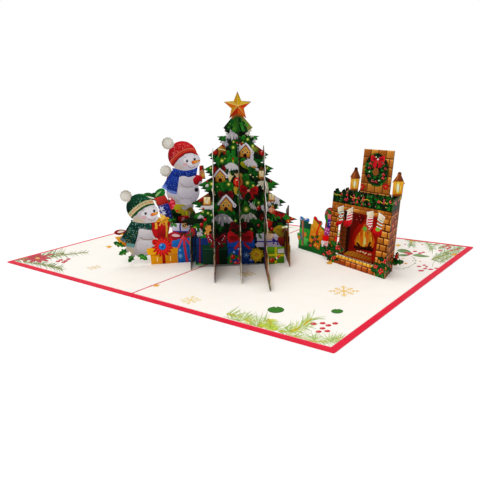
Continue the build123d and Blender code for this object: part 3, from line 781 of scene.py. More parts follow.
def tree_top(pen):
    """Upper tiers of the tree, with their snow, lights and ornaments."""
    pen.poly([(680, 600), (660, 760), (590, 960), (640, 1000), (700, 985), (722, 640)], "1e5614", "448226",
             (680, 620), (650, 960))
    pen.poly([(560, 740), (480, 880), (530, 960), (590, 880), (620, 700)], "0f5a1c")
    pen.poly([(790, 640), (830, 800), (900, 960), (960, 960), (900, 800)], "0b4a16")
    pen.line([(800, 640), (838, 800), (890, 960)], 16, "3f7a3a")
    for x, y in ((840, 725), (892, 830), (950, 880), (530, 878), (660, 905), (560, 800), (880, 1060),
                 (400, 1110)):
        pen.oval(x, y, 15, 13, "8a8a3c", n=8)
    each(bough, pen, ((330, 1080, 75, 165), (440, 1090, 90, 130), (640, 960, 80, 95), (1120, 1085, 75, 15),
                      (860, 1080, 95, 95), (1010, 1000, 80, 60), (200, 1500, 90, 165), (1330, 1490, 90, 15),
                      (640, 1420, 100, 90), (520, 1420, 90, 110)))
    each(snow, pen, ((432, 1000, 120, 95, -20, "cdc8ba"), (600, 1020, 235, 170, -4, "bab5bb"),
                     (1020, 1005, 165, 110, 22, "cbc6b8"), (380, 1205, 80, 60, -30, "d0ccd0"),
                     (455, 1240, 120, 80, -10, "a8a6b0"), (1115, 1190, 80, 60, 30, "ccc8cc")), 5)
    each(glow, pen, ((638, 1205, 26), (632, 1330, 36), (955, 1150, 30), (848, 1218, 18), (1070, 1300, 34)))
    ball(pen, 222, 1440, 62)
    ball(pen, 1290, 1452, 62, "c81a1a", "780a0e")
    pen.blob([(290, 1330), (340, 1300), (430, 1330), (480, 1400), (450, 1440), (340, 1430), (290, 1400)],
             "c09038", "7a5018", (320, 1310), (430, 1430))
    pen.blob([(300, 1240), (325, 1215), (345, 1240), (340, 1300), (305, 1300)], "b02412")
    pen.blob([(385, 1270), (410, 1262), (430, 1300), (400, 1330)], "8c1a10")
    pen.line([(300, 1360), (380, 1375), (460, 1400)], 20, "e8d8a0")
    pen.blob([(400, 1420), (440, 1430), (470, 1470), (430, 1490)], "9a2a14")
    pen.blob([(1140, 1270), (1170, 1220), (1205, 1260), (1190, 1320), (1150, 1310)], "a81814")
    pen.blob([(1040, 1340), (1110, 1330), (1190, 1350), (1180, 1410), (1100, 1430), (1040, 1400)], "a8a850",
             "4a7020", (1060, 1340), (1160, 1420))
    pen.line([(828, 1232), (800, 1300), (752, 1400)], 44, "ece4e4")
    pen.blob([(795, 1240), (830, 1220), (850, 1250), (820, 1290), (795, 1280)], "b01c14")
    house(pen, 892, 1545, 262, 4)
    pen.oval(1000, 1440, 34, 34, "e8b44a", n=12)
    pen.oval(1000, 1440, 17, 17, "7a2c10", n=10)


def star(pen):
    """Faceted star at the tip."""
    c = (735, 400)
    rim = [(712, 95), (625, 285), (415, 305), (565, 440), (535, 650), (735, 575), (935, 665), (880, 455),
           (1025, 320), (815, 290)]
    tints = ("c2941c", "d0b054", "cc6e14", "c08c1a", "a82e04", "c45e0c", "cc680a", "c24606", "d2b038",
             "c8a414")
    pen.poly([(c[0] + (x - c[0]) * 1.3, c[1] + (y - c[1]) * 1.3) for x, y in rim], "8c5a1e")
    for a, b, ink in zip(rim, rim[1:] + rim[:1], tints):
        pen.poly([a, b, c], ink)
        pen.poly([((a[0] + c[0]) / 2, (a[1] + c[1]) / 2), ((b[0] + c[0]) / 2, (b[1] + c[1]) / 2), c], ink)
    for tip in rim[::2]:
        pen.line([c, tip], 7, "f4dc8a", taper=True)
    pen.line(rim + rim[:1], 20, "8c5a1e")


def tree_middle(pen):
    """Tiers round the middle of the tree, with their snow, lights and ornaments."""
    each(bough, pen, ((655, 80, 120, 92), (620, 120, 95, 105), (690, 120, 95, 75),
                      (300, 70, 60, 175, NEEDLES), (1190, 85, 50, 5, NEEDLES), (280, 290, 80, 170),
                      (360, 270, 80, 120), (1230, 275, 90, 15), (230, 500, 90, 165), (320, 520, 110, 120),
                      (560, 500, 120, 110), (620, 520, 110, 80), (480, 560, 100, 120), (880, 400, 110, 100),
                      (960, 520, 110, 70), (1320, 480, 90, 15), (1240, 540, 90, 40),
                      (1340, 620, 70, 10, NEEDLES), (110, 850, 90, 170, NEEDLES),
                      (1430, 790, 80, 10, NEEDLES), (1190, 770, 90, 80), (380, 860, 100, 90),
                      (850, 880, 100, 90), (1010, 350, 90, 60, NEEDLES), (840, 140, 80, 120),
                      (470, 150, 80, 110), (1060, 820, 90, 60, NEEDLES)))
    each(snow, pen, ((645, 225, 205, 120, 0, "dcd8dc"), (965, 175, 215, 125, 20, "d4ced4"),
                     (1180, 520, 170, 140, 38, "dedac0"), (1360, 760, 150, 120, 38, "d8d4da"),
                     (265, 545, 60, 40, -20, "dcd8d8"), (1060, 292, 60, 40, 30, "d8d4d8"),
                     (970, 870, 130, 100, 10, "c8c4c8"), (1185, 880, 110, 90, 30, "d4d0d6"),
                     (790, 735, 40, 60, 0, "b8b6be"), (260, 870, 220, 70, -5, "dcd6d8"),
                     (150, 610, 70, 40, -10, "b8b4ba")), 6)
    each(glow, pen, ((500, 168, 30), (546, 134, 12), (605, 538, 27), (338, 530, 27), (322, 280, 18),
                     (1210, 280, 18), (900, 515, 32), (990, 560, 22), (1170, 770, 22), (222, 485, 16),
                     (1330, 482, 16), (868, 905, 26), (1075, 825, 20), (240, 290, 12)))
    for x, y in ((645, 400), (650, 432), (945, 385), (990, 420), (1050, 415), (625, 490), (372, 700),
                 (655, 690), (428, 575), (860, 40)):
        pen.oval(x, y, 10, 10, "e6d9a0", n=7)
    pen.oval(675, 135, 18, 20, "a81414", n=12)
    pen.line([(676, 155), (674, 205)], 20, "b8c02c")
    pen.blob([(795, 200), (830, 180), (880, 250), (880, 290), (830, 270), (800, 240)], "c8be28", "6a8018",
             (810, 200), (870, 290))
    pen.oval(1000, 262, 38, 14, "c99a4a", n=10)
    bow(pen, 460, 318, 100, "8c141c", "520a10", 0, False)
    house(pen, 477, 492, 170, -3)
    pen.blob([(342, 330), (358, 280), (395, 268), (400, 320), (370, 360)], "c4301c")
    ball(pen, 755, 500, 78, "dc2c18", "a01010")
    pen.line([(795, 430), (812, 500), (795, 560)], 26, "c8803c")
    pen.oval(740, 415, 20, 18, "d8b890", n=10)
    pen.blob([(680, 600), (710, 590), (750, 600), (730, 640), (700, 650)], "c8a83c")
    bow(pen, 920, 640, 140, "d01820", "8a0c12", 6)
    pen.oval(918, 634, 24, 22, "e8a888", n=12)
    lantern(pen, 1125, 380, 110)
    bow(pen, 555, 705, 110, "8c141c", "520a10", 0, False)
    house(pen, 565, 960, 215, 0)
    lantern(pen, 265, 800, 125)
    pen.blob([(130, 770), (150, 720), (200, 705), (210, 760), (190, 810), (150, 800)], "d03c20", "8c1812",
             (160, 720), (180, 800))
    lantern(pen, 1280, 740, 110)
    pen.blob([(1225, 790), (1260, 790), (1265, 860), (1235, 850)], "c84a24")
    each(berry, pen, ((1268, 395, 17), (1276, 438, 20), (1268, 484, 19), (262, 400, 18), (270, 440, 20),
                      (265, 490, 17), (365, 445, 16), (325, 195, 14), (1210, 200, 14), (160, 275, 14)),
         "a41624")


def tree_foot(pen):
    """Lowest tiers of the tree, with their snow, lights and ornaments."""
    each(bough, pen, ((480, 160, 110, 90), (560, 150, 90, 60, NEEDLES), (760, 160, 90, 90),
                      (860, 90, 80, 60, NEEDLES), (1290, 200, 90, 20), (1350, 250, 90, 40),
                      (1380, 330, 80, 70), (220, 170, 90, 150), (240, 480, 80, 100),
                      (180, 330, 80, 150, NEEDLES), (330, 210, 80, 100, NEEDLES), (960, 430, 70, 70, NEEDLES),
                      (900, 250, 90, 60, NEEDLES)))
    each(snow, pen, ((487, 210, 250, 130, 0, "a29da6"), (820, 180, 180, 110, -4, "b4b0a8"),
                     (885, 78, 95, 60, 10, "b8b4b0"), (1060, 90, 90, 70, 20, "d8d4d8"),
                     (200, 205, 60, 60, -10, "c8c4c8"), (182, 430, 80, 70, 0, "b4b0b4"),
                     (1100, 30, 60, 60, 20, "d8d4d8")), 7)
    each(glow, pen, ((800, 122, 34), (300, 170, 16), (345, 195, 14), (230, 152, 18), (130, 372, 22),
                     (660, 270, 14), (870, 380, 12)))
    ball(pen, 965, 105, 33, "a8141a", "5c080e")
    ball(pen, 1130, 130, 38, "f2b290", "c85a38")
    bow(pen, 1235, 185, 64, "c4181c", "7c0c12", 20)
    ball(pen, 1090, 312, 52)
    flower(pen, 1400, 232, 48, "c42018", "7c0c12", "e8b83a", 6)
    flower(pen, 1350, 278, 36, "d85a28", "9c2014", "f4d878", 6)
    each(berry, pen, ((262, 255, 24), (215, 320, 25), (960, 330, 18), (1135, 375, 24), (1015, 235, 14),
                      (240, 110, 14)))
    gingerbread(pen, 300, 395, 72, 18)
    bow(pen, 700, 345, 104, "7c1016", "4a080c", 0, False)


def foot_gifts(pen):
    """Gifts along the foot of the tree."""
    box_print(pen, 150, 500, 300, 830, 90, "173a78", "0a1c3c", "8c1820", 0.3)
    box_print(pen, 232, 585, 560, 850, 70, "14442c", "071f14", "0f3622", 0.7)
    pen.line([(240, 640), (400, 650), (550, 640)], 8, "2f6a48")
    pen.line([(440, 590), (420, 650), (430, 845)], 34, "8c1a20")
    box_print(pen, 562, 520, 900, 832, 100, "1c58b4", "0c3474", "b8202c", 0.47)
    each(asterisk, pen, ((800, 720, 42), (860, 780, 20), (700, 640, 16), (640, 680, 18)), 10, "9cc4ee")
    pen.line([(720, 535), (690, 590), (650, 640)], 30, "d02c38")
    pen.line([(770, 545), (800, 595), (850, 635)], 30, "c4222c")
    bow(pen, 722, 512, 165, "d8222c", "8e0c14", 0, False)
    bow(pen, 415, 520, 118, "b0203a", "5e0a18", -4, True,
        ((0.75, -0.1), (0.6, 0.08), (0.9, -0.35), (0.3, 0.5)))
    box_print(pen, 940, 440, 1262, 612, 44, "d4ccda", "a49cb4", "3c3494", 0.35)
    pen.line([(940, 540), (1050, 544), (1230, 538)], 16, "3c3494")
    swirl(pen, 1110, 468, 44, "f0dcc0", "c0602a")
    bow(pen, 1190, 536, 52, "4a3ca4", "281e6a", 10)
    pen.blob([(1210, 500), (1260, 480), (1310, 520), (1300, 590), (1240, 590)], "8c2018", "4e0e0c",
             (1230, 500), (1290, 590))
    pen.blob([(1150, 400), (1190, 345), (1260, 330), (1310, 380), (1290, 470), (1230, 480), (1190, 440)],
             "b09a24", "6e5c0e", (1200, 350), (1280, 470))
    pen.line([(1200, 380), (1250, 400), (1280, 450)], 9, "5c4c0a")
    pen.blob([(1025, 420), (1060, 388), (1130, 410), (1150, 440), (1080, 432)], "b88c24", "7a5a10",
             (1040, 400), (1140, 440))
    box_print(pen, 1048, 610, 1330, 832, 64, "74b020", "41740e", "d8d020", 0.5)
    pen.line([(1048, 722), (1180, 716), (1320, 722)], 26, "e0d42a")
    pen.poly([(1212, 640), (1306, 632), (1306, 690), (1212, 694)], "dcd8d4")
    pen.line([(1226, 658), (1290, 652)], 5, "a8a4a0")
    ball(pen, 1135, 786, 34, "e03a1c", "a01810")
    for k in range(4):
        pen.oval(1188 + 16 * k, 770 - 14 * k, 15, 22, ("1c1c1c", "f0ece4", "d83a1c", "f08a3a")[k], turn=30,
                 n=10)
    flower(pen, 935, 715, 112, "dcb828", "9a7c10", "b01c14", 8, 10)
    each(leaf, pen, ((600, 700, 130, 100), (600, 690, 110, 60), (590, 760, 130, 85), (640, 720, 90, 30)),
         "1c6a24", "62a84a", 0.36)
    each(berry, pen, ((625, 742, 32), (665, 822, 28), (702, 768, 22), (600, 800, 18), (712, 820, 20)),
         "cc1c24")
    each(leaf, pen, ((960, 440, 80, 60), (950, 400, 70, 20)))


def tree_print(panel):
    """Print of the main face: fir all over, then three parts of the photograph from the top down."""
    fir(own_pen(panel, 11, 0.0, TIP), TIP, reach=45.0, rows=21)
    top, foot = Pen(panel, *TREE_TOP, seed=12), Pen(panel, *TREE_FOOT, seed=14)
    tree_top(top)
    star(top)
    tree_middle(Pen(panel, *TREE_MIDDLE, seed=13))
    tree_foot(foot)
    foot_gifts(foot)


def face(pen, eyes, brows, mouth, cheek, nose, r):
    """Coal eyes, brows, a smile, one rosy cheek and a carrot nose."""
    pen.oval(*cheek, r * 2.3, r * 1.7, "d6c1c6", n=16)
    pen.oval(*cheek, r * 1.6, r * 1.15, "d9b2b3", n=14)
    for x, y in eyes:
        pen.oval(x, y, r * 0.98, r * 1.18, "0b0b12", n=14)
        pen.oval(x - r * 0.3, y - r * 0.42, r * 0.27, r * 0.27, "d8dce6", n=6)
    for b in brows:
        pen.line(b, r * 0.32, "5f524f")
    pen.line(mouth, r * 0.36, "83403c")
    pen.poly(nose, "b8420f")
    tip = nose[len(nose) // 2 - 1]
    cx, cy = sum(p[0] for p in nose) / len(nose), sum(p[1] for p in nose) / len(nose)
    small = [(cx + (x - cx) * 0.86, cy + (y - cy) * 0.8) for x, y in nose]
    pen.poly(small, "ea5a1c", "eeb04a", nose[0], tip)


def upper_body(pen):
    """Body of the upper snowman, with its button, what it holds and its red mitten."""
    pen.blob([(900, 990), (935, 1090), (1030, 1160), (1110, 1185), (1200, 1225), (1290, 1190), (1400, 1135),
              (1475, 1050), (1480, 940), (1440, 850), (1340, 770), (1200, 735), (1080, 760), (1060, 900),
              (980, 950)], "cbc5cc", "b2abb8", (1150, 800), (1330, 1200))
    pen.blob([(1110, 930), (1200, 950), (1330, 940), (1400, 1000), (1370, 1090), (1260, 1120), (1150, 1080),
              (1090, 1000)], "d3ced5", "bab4c0", (1200, 930), (1260, 1120))
    pen.blob([(950, 1040), (1040, 1075), (1100, 1130), (1090, 1165), (1010, 1140), (955, 1095)], "c0b6b4",
             "a99c9a", (980, 1050), (1080, 1160))
    pen.oval(1200, 1150, 88, 58, "a49aa2", n=18)
    pen.oval(1200, 1146, 82, 52, "c6bfc8", n=18)
    pen.line([(1120, 1080), (1170, 1105), (1200, 1092), (1250, 1106), (1300, 1085)], 8, "a3989c")
    pen.blob([(1090, 800), (1150, 755), (1250, 745), (1340, 760), (1345, 860), (1310, 915), (1220, 925),
              (1140, 890)], "dad5da", "bcb5bf", (1180, 760), (1230, 925))
    pen.line([(1125, 872), (1170, 912), (1240, 930), (1310, 918)], 11, "a08f80")
    pen.oval(1366, 967, 30, 31, "08080c", n=16)
    pen.oval(1357, 957, 9, 8, "4d4d58", n=8)
    pen.oval(1438, 705, 30, 44, "c58a5e", n=12)
    pen.oval(1425, 640, 29, 38, "8a0c16", n=12)
    pen.oval(1423, 636, 24, 32, "bd1824", n=12)
    pen.oval(1480, 752, 46, 38, "c98c34", n=12)
    pen.oval(1472, 744, 30, 24, "dcae5a", n=10)
    pen.oval(1520, 752, 15, 15, "b01620", n=8)
    pen.blob([(1316, 808), (1345, 775), (1400, 755), (1448, 772), (1462, 820), (1410, 848), (1392, 885),
              (1348, 893), (1322, 855)], "d01624", "8c0713", (1340, 770), (1380, 890))
    pen.line([(1330, 870), (1390, 860), (1450, 815)], 7, "6d0510")


def blue_scarf(pen):
    """Knitted scarf of the upper snowman."""
    pen.poly([(1000, 735), (1112, 765), (1096, 860), (1082, 960), (1068, 1034), (1006, 1020), (930, 985),
              (925, 940), (872, 898), (915, 835)], "2448a8", "16307e", (1000, 740), (1000, 1020))
    pen.poly([(930, 962), (1078, 1000), (1070, 1036), (1000, 1024), (925, 990)], "7287c6")
    pen.poly([(872, 898), (890, 868), (935, 905), (925, 945)], "5f7ac2")
    for k in range(7):
        y = 770 + 30 * k
        wool(pen, [((960 - 9 * k, y), (1095 - 3 * k, y + 22), 7)], ("7f9fe0", "4a6fcb", "0f256e"), 6.5)
    pen.blob([(1018, 636), (1100, 662), (1200, 680), (1300, 662), (1378, 624), (1396, 690), (1340, 752),
              (1245, 778), (1180, 758), (1090, 776), (1010, 748), (996, 690)], "2348ac", "132c78",
             (1200, 650), (1200, 775))
    for k in range(4):
        y = 676 + 24 * k
        wool(pen, [((1018, y - 12), (1200, y + 14), 9), ((1205, y + 14), (1372, y - 22), 8)],
             ("8fb0ea", "4f77d2", "10266e"), 6.5)
    pen.line([(1180, 690), (1196, 735), (1186, 758)], 8, "0e2160")


def upper_head(pen):
    """Head of the upper snowman."""
    pen.blob([(1012, 628), (1052, 560), (1140, 480), (1240, 425), (1335, 408), (1384, 440), (1398, 520),
              (1392, 585), (1364, 636), (1300, 664), (1200, 682), (1100, 664)], "e0dde3", "c2bbc4",
             (1280, 450), (1130, 665))
    pen.blob([(1020, 625), (1062, 575), (1120, 590), (1170, 650), (1100, 660)], "c9bcb4")
    pen.blob([(1180, 500), (1260, 455), (1340, 450), (1375, 500), (1360, 580), (1260, 600), (1190, 570)],
             "e6e3e8")
    face(pen, [(1224, 537), (1338, 508)],
         [[(1188, 493), (1200, 482), (1212, 482)], [(1320, 458), (1334, 450), (1344, 455)]],
         [(1238, 603), (1256, 628), (1290, 643), (1322, 634), (1344, 612)], (1198, 592),
         [(1290, 558), (1300, 534), (1350, 526), (1422, 519), (1402, 546), (1350, 576), (1312, 590)], 18)


def red_hat(pen):
    """Red hat: crown, stitches, cuff and bobble."""
    pen.blob([(948, 560), (940, 450), (972, 360), (1034, 278), (1110, 246), (1200, 254), (1290, 302),
              (1352, 356), (1388, 410), (1300, 420), (1120, 440), (1020, 540)], "d5202a", "9a0f1c",
             (1150, 260), (1000, 520))
    for k in range(6):
        a, b = (970 + 14 * k, 500 - 40 * k), (1120 + 42 * k, 372 - 20 * k)
        wool(pen, [(a, b, 12)], ("ee6a62", "f2a49a", "8a0c18", "c01a24"), 8)
    wool(pen, [((1010, 330), (1290, 325), 14), ((1060, 290), (1230, 280), 9)], ("f08078", "8a0c18", "d9333a"),
         8)
    pen.blob([(946, 560), (966, 528), (1030, 462), (1110, 390), (1200, 345), (1290, 336), (1356, 366),
              (1390, 415), (1374, 446), (1300, 414), (1215, 424), (1125, 478), (1058, 560), (1014, 622),
              (972, 608)], "cc2a1c", "a8141a", (1300, 350), (980, 600))
    rim = [(975, 585), (1010, 540), (1055, 490), (1105, 443), (1160, 405), (1215, 384), (1270, 374),
           (1322, 380), (1364, 410)]
    for x, y, way in along(rim, (0.1, 0.43, 0.76)):
        d = way + pi / 2
        for q, ink in ((-24, "e88e6c"), (4, "d4503a"), (26, "8c1016")):
            pen.oval(x + q * cos(d) + 4, y + q * sin(d), 12, 6, ink, turn=degrees(d), n=8)
    pen.line([(1000, 618), (1040, 575), (1110, 490), (1200, 428), (1290, 412), (1370, 442)], 9, "7c0a14")
    bobble(pen, 952, 270, 84)


def far_left_holly(pen):
    """Holly, red loop and gold ribbon at the far left."""
    pen.blob([(224, 735), (232, 690), (280, 668), (350, 685), (415, 722), (385, 745), (310, 765), (255, 786),
              (228, 770)], "b5141f", "7c0a14", (260, 680), (300, 780))
    pen.blob([(272, 738), (320, 712), (385, 722), (330, 748), (285, 752)], "e9dcd2")
    pen.blob([(238, 830), (290, 795), (350, 770), (360, 800), (300, 840), (345, 880), (410, 940), (380, 975),
              (330, 930), (290, 885), (250, 862)], "f0b63c", "c06e10", (250, 800), (390, 960))
    for x, y, d, a in ((395, 985, 180, 205), (395, 985, 150, 160), (420, 1040, 130, 150),
                       (470, 1085, 120, 165), (520, 1110, 110, 140), (560, 1120, 105, 110),
                       (400, 960, 140, 75), (450, 1060, 110, 100), (600, 1080, 120, 60), (640, 1110, 150, 30),
                       (690, 1130, 130, 62), (620, 1075, 110, -15), (760, 1160, 90, 15)):
        leaf(pen, x, y, d, a, pen.r.choice(("1f7a26", "2c8a30", "17601e")), "8cc65c", 0.34)


def star_box(pen):
    """Third box with stars, its red lid and green bow."""
    pen.poly([(915, 335), (1075, 280), (1155, 520), (1090, 560), (960, 440)], "2a3590", "10184e", (960, 320),
             (1120, 520))
    for x, y, r in ((965, 372, 56), (1000, 440, 50), (1050, 352, 20), (1085, 420, 18), (1030, 330, 13),
                    (1100, 480, 20)):
        burst(pen, x, y, r, r * 0.42, 5, "c9cbe0" if r > 40 else "5a66b8", 20)
    pen.poly([(838, 218), (1020, 160), (1088, 262), (905, 322)], "d4463c", "a82420", (850, 180), (1000, 320))
    pen.line([(905, 322), (1088, 262)], 12, "7c1414")
    pen.line([(845, 220), (905, 318)], 14, "8a1a18")
    pen.blob([(836, 190), (838, 90), (870, 30), (905, 4), (960, 40), (1012, 95), (960, 120), (900, 190)],
             "2a8a34", "0c4a1a", (960, 40), (860, 180))
    pen.blob([(865, 172), (900, 120), (965, 92), (930, 140), (895, 178)], "93c07a")
    pen.blob([(845, 178), (860, 110), (900, 50), (880, 120), (866, 170)], "0d4a1c")
    pen.blob([(838, 192), (780, 180), (690, 165), (615, 135), (625, 98), (690, 92), (770, 125), (820, 165)],
             "43923f", "125a22", (640, 100), (800, 190))
    pen.line([(640, 118), (720, 130), (800, 168), (835, 195)], 10, "0c4018")
    pen.blob([(740, 190), (790, 185), (845, 200), (800, 212)], "e6ead9")


def sweets(pen):
    """Sweets and olive bow between the figures."""
    for x, y, r in ((1100, 225, 40), (1125, 275, 58), (1150, 330, 55), (1140, 380, 36)):
        pen.oval(x, y, r, r * 0.95, "c42038", n=12)
        pen.oval(x + 6, y - 4, r * 0.55, r * 0.5, "ec5a6c", n=10)
    pen.oval(1098, 215, 22, 20, "f6dfe0", n=10)
    pen.blob([(1150, 380), (1190, 300), (1260, 305), (1340, 320), (1390, 450), (1380, 480), (1280, 490),
              (1210, 470), (1175, 420)], "b4aa1c", "857c0e", (1200, 310), (1330, 480))
    pen.line([(1290, 330), (1270, 400), (1215, 465)], 9, "6a640a")
    pen.line([(1300, 345), (1350, 400), (1365, 470)], 8, "d0c84a")
    pen.oval(1215, 405, 24, 18, "d13a2a", n=10)
    pen.blob([(1400, 440), (1420, 360), (1470, 335), (1520, 370), (1540, 460), (1480, 480)], "a49a1a",
             "6e660c", (1420, 350), (1520, 470))
    each(leaf, pen, ((1400, 470, 120, 20), (1440, 300, 150, -10), (1470, 500, 130, -40),
                     (1440, 290, 120, 40)), "143f1c", "2f6a2c", 0.4)


def held_gift(pen):
    """Gift held by the lower snowman."""
    pen.poly([(800, 592), (935, 575), (1112, 566), (1100, 700), (1085, 845), (995, 852), (860, 822),
              (815, 720)], "b81218", "9c0c16", (850, 590), (1050, 850))
    pen.poly([(1060, 570), (1112, 566), (1085, 845), (1040, 850)], "a30e18")
    pen.blob([(930, 640), (990, 610), (1030, 680), (1020, 790), (960, 800), (925, 720)], "c81e20", "8c0c10",
             (950, 640), (990, 800))
    pen.blob([(830, 700), (880, 690), (915, 740), (890, 800), (850, 780)], "c01a1c")
    pen.line([(876, 590), (884, 640), (878, 690)], 40, "e9b040")
    pen.line([(1036, 580), (1050, 660), (1050, 760), (1044, 850)], 34, "f0bc48", "c27c18", (1045, 600),
             (1045, 850))
    pen.line([(1050, 600), (1058, 700), (1054, 840)], 7, "8c4a10")
    pen.blob([(960, 572), (905, 580), (868, 560), (862, 520), (910, 505), (945, 530)], "e7ac3a")
    pen.blob([(962, 572), (955, 510), (985, 472), (1020, 480), (1030, 530), (1000, 566)], "f3c95e")
    pen.blob([(965, 574), (1010, 520), (1060, 500), (1090, 530), (1070, 575), (1010, 588)], "e3a232")
    pen.line([(880, 540), (930, 548), (965, 574), (1020, 548), (1070, 540)], 9, "96560e")
    pen.line([(965, 574), (930, 640)], 22, "e9b44a")
    pen.line([(965, 574), (1010, 630)], 20, "d99a2c")


def lower_snowman(pen):
    """Lower snowman: body, scarf, head and face."""
    pen.blob([(398, 955), (410, 1020), (470, 1085), (570, 1112), (640, 1080), (740, 1090), (820, 1020),
              (850, 930), (850, 850), (820, 760), (720, 700), (600, 700), (575, 850), (520, 960)], "ccc6cb",
             "aaa39f", (650, 780), (540, 1110))
    pen.blob([(600, 880), (700, 870), (790, 880), (810, 950), (760, 1030), (650, 1050), (580, 1000)],
             "d6d1d6", "bdb6ba", (680, 870), (680, 1050))
    pen.blob([(420, 965), (500, 990), (540, 1060), (500, 1080), (440, 1030)], "b9ab94")
    pen.blob([(590, 760), (620, 700), (700, 680), (780, 700), (825, 780), (838, 840), (760, 858), (690, 855),
              (630, 825)], "ddd8dc", "bdb6ba", (680, 690), (720, 855))
    pen.line([(622, 818), (680, 850), (750, 860), (835, 846)], 12, "94816c")
    pen.blob([(830, 850), (900, 838), (980, 850), (985, 880), (900, 890), (840, 880)], "cdb9a6")
    pen.poly([(485, 600), (610, 668), (600, 760), (575, 860), (535, 978), (425, 958), (400, 900), (312, 848),
              (370, 770), (430, 700)], "155040", "0a2c26", (500, 620), (470, 960))
    pen.poly([(412, 905), (545, 925), (532, 982), (420, 962)], "6c9a98")
    pen.poly([(312, 848), (335, 815), (408, 860), (402, 905)], "58707a")
    for k in range(8):
        y = 672 + 30 * k
        wool(pen, [((452 - 11 * k, y), (590 - 7 * k, y + 26), 7)],
             ("4d9a84", "a8c8bc", "0a2a22", "2a7a50", "c9b45a"), 8)
    pen.blob([(488, 562), (560, 585), (640, 597), (730, 602), (806, 590), (812, 690), (745, 700), (640, 682),
              (570, 700), (470, 655)], "175644", "0a2e24", (650, 580), (650, 700))
    for k in range(4):
        wool(pen,
             [((500, 590 + 24 * k), (640, 622 + 18 * k), 6), ((650, 622 + 18 * k), (800, 612 + 22 * k), 7)],
             ("5aa690", "b9d4c6", "0b2c22", "2a6f88"), 8)
    pen.line([(642, 600), (650, 650), (640, 684)], 9, "06201a")
    pen.blob([(505, 562), (555, 490), (640, 405), (750, 335), (850, 312), (912, 348), (938, 430), (920, 515),
              (862, 572), (760, 597), (640, 595), (560, 582)], "dedbe0", "c3bab8", (800, 380), (580, 585))
    pen.blob([(512, 560), (570, 500), (640, 520), (700, 580), (620, 590), (560, 578)], "cbbda8")
    pen.blob([(650, 450), (730, 385), (830, 360), (890, 400), (890, 480), (800, 520), (700, 530)], "e5e2e6")
    face(pen, [(716, 446), (851, 404)],
         [[(672, 408), (680, 395), (694, 388)], [(832, 350), (842, 340), (850, 344)]],
         [(742, 515), (770, 543), (815, 556), (850, 546), (872, 522)], (690, 512),
         [(790, 466), (812, 440), (870, 428), (948, 401), (928, 440), (868, 474), (815, 492)], 20)


def green_hat(pen):
    """Green hat with a patterned band."""
    pen.blob([(415, 500), (398, 400), (412, 300), (465, 220), (540, 168), (630, 152), (730, 182), (820, 225),
              (880, 275), (760, 300), (600, 360), (480, 480)], "165438", "04241a", (640, 170), (430, 420))
    for k in range(5):
        wool(pen, [((430 + 22 * k, 440 - 54 * k), (640 + 46 * k, 262 - 14 * k), 13)],
             ("3f9468", "8fc4a4", "04241a", "0b4028"), 8)
    band = [(432, 528), (480, 455), (548, 385), (630, 322), (715, 278), (800, 258), (876, 280)]
    pen.line(band, 86, "11402a")
    pen.line(band, 66, "d9d0a4")
    for k, (x, y, way) in enumerate(along(band, (0.1, 0.45, 0.8))):
        d = degrees(way)
        burst(pen, x, y, 20, 11, 4, ("c23a24", "2a6a34", "c86a2a")[(k // 3 + k % 3) % 3], d)
        pen.oval(x, y, 6, 6, "efe6c0", n=6)
        for q in (-27, 27):
            n = radians(d + 90)
            pen.oval(x + q * cos(n) + 8, y + q * sin(n), 9, 4, "2c7a3c" if q < 0 else "b8912c", turn=d, n=6)
    pen.line([(462, 556), (520, 485), (600, 410), (690, 350), (780, 312), (860, 300), (905, 328)], 24,
             "123f22")
    pen.line([(470, 548), (530, 478), (612, 400), (700, 342), (790, 306), (868, 298)], 6, "3f8a4c")
    bobble(pen, 396, 190, 88)


def swirl_box(pen):
    """White box with a swirl, its ribbon, and sprigs."""
    pen.poly([(1112, 600), (1200, 590), (1440, 590), (1425, 640), (1382, 728), (1110, 722)], "e0dbe8",
             "b4adc4", (1200, 600), (1300, 720))
    pen.blob([(1238, 505), (1300, 480), (1390, 488), (1432, 540), (1400, 578), (1290, 586), (1245, 560)],
             "b81824", "720812", (1300, 490), (1340, 580))
    pen.blob([(1290, 520), (1330, 505), (1320, 560), (1290, 570)], "e8a0a4")
    pen.line([(1262, 585), (1254, 650), (1262, 725)], 24, "322880")
    pen.line([(1108, 722), (1240, 728), (1384, 728)], 17, "443a96")
    pen.oval(1334, 628, 54, 52, "3e120e", n=18)
    for r, a0 in ((42, 20), (27, 200), (13, 60)):
        arc = [polar(1334, 628, r, radians(a0 + 28 * i)) for i in range(10)]
        pen.line(arc, 9, "e6c38a")
    pen.blob([(1420, 620), (1460, 570), (1495, 560), (1470, 600), (1440, 640)], "c9cdd0")
    each(leaf, pen, ((1150, 560, 80, -70), (1150, 575, 90, 110), (1140, 560, 80, 190), (1165, 600, 70, 60)),
         "2c8030", "86b850", 0.42)
    pen.oval(1205, 552, 26, 24, "d8a830", n=10)


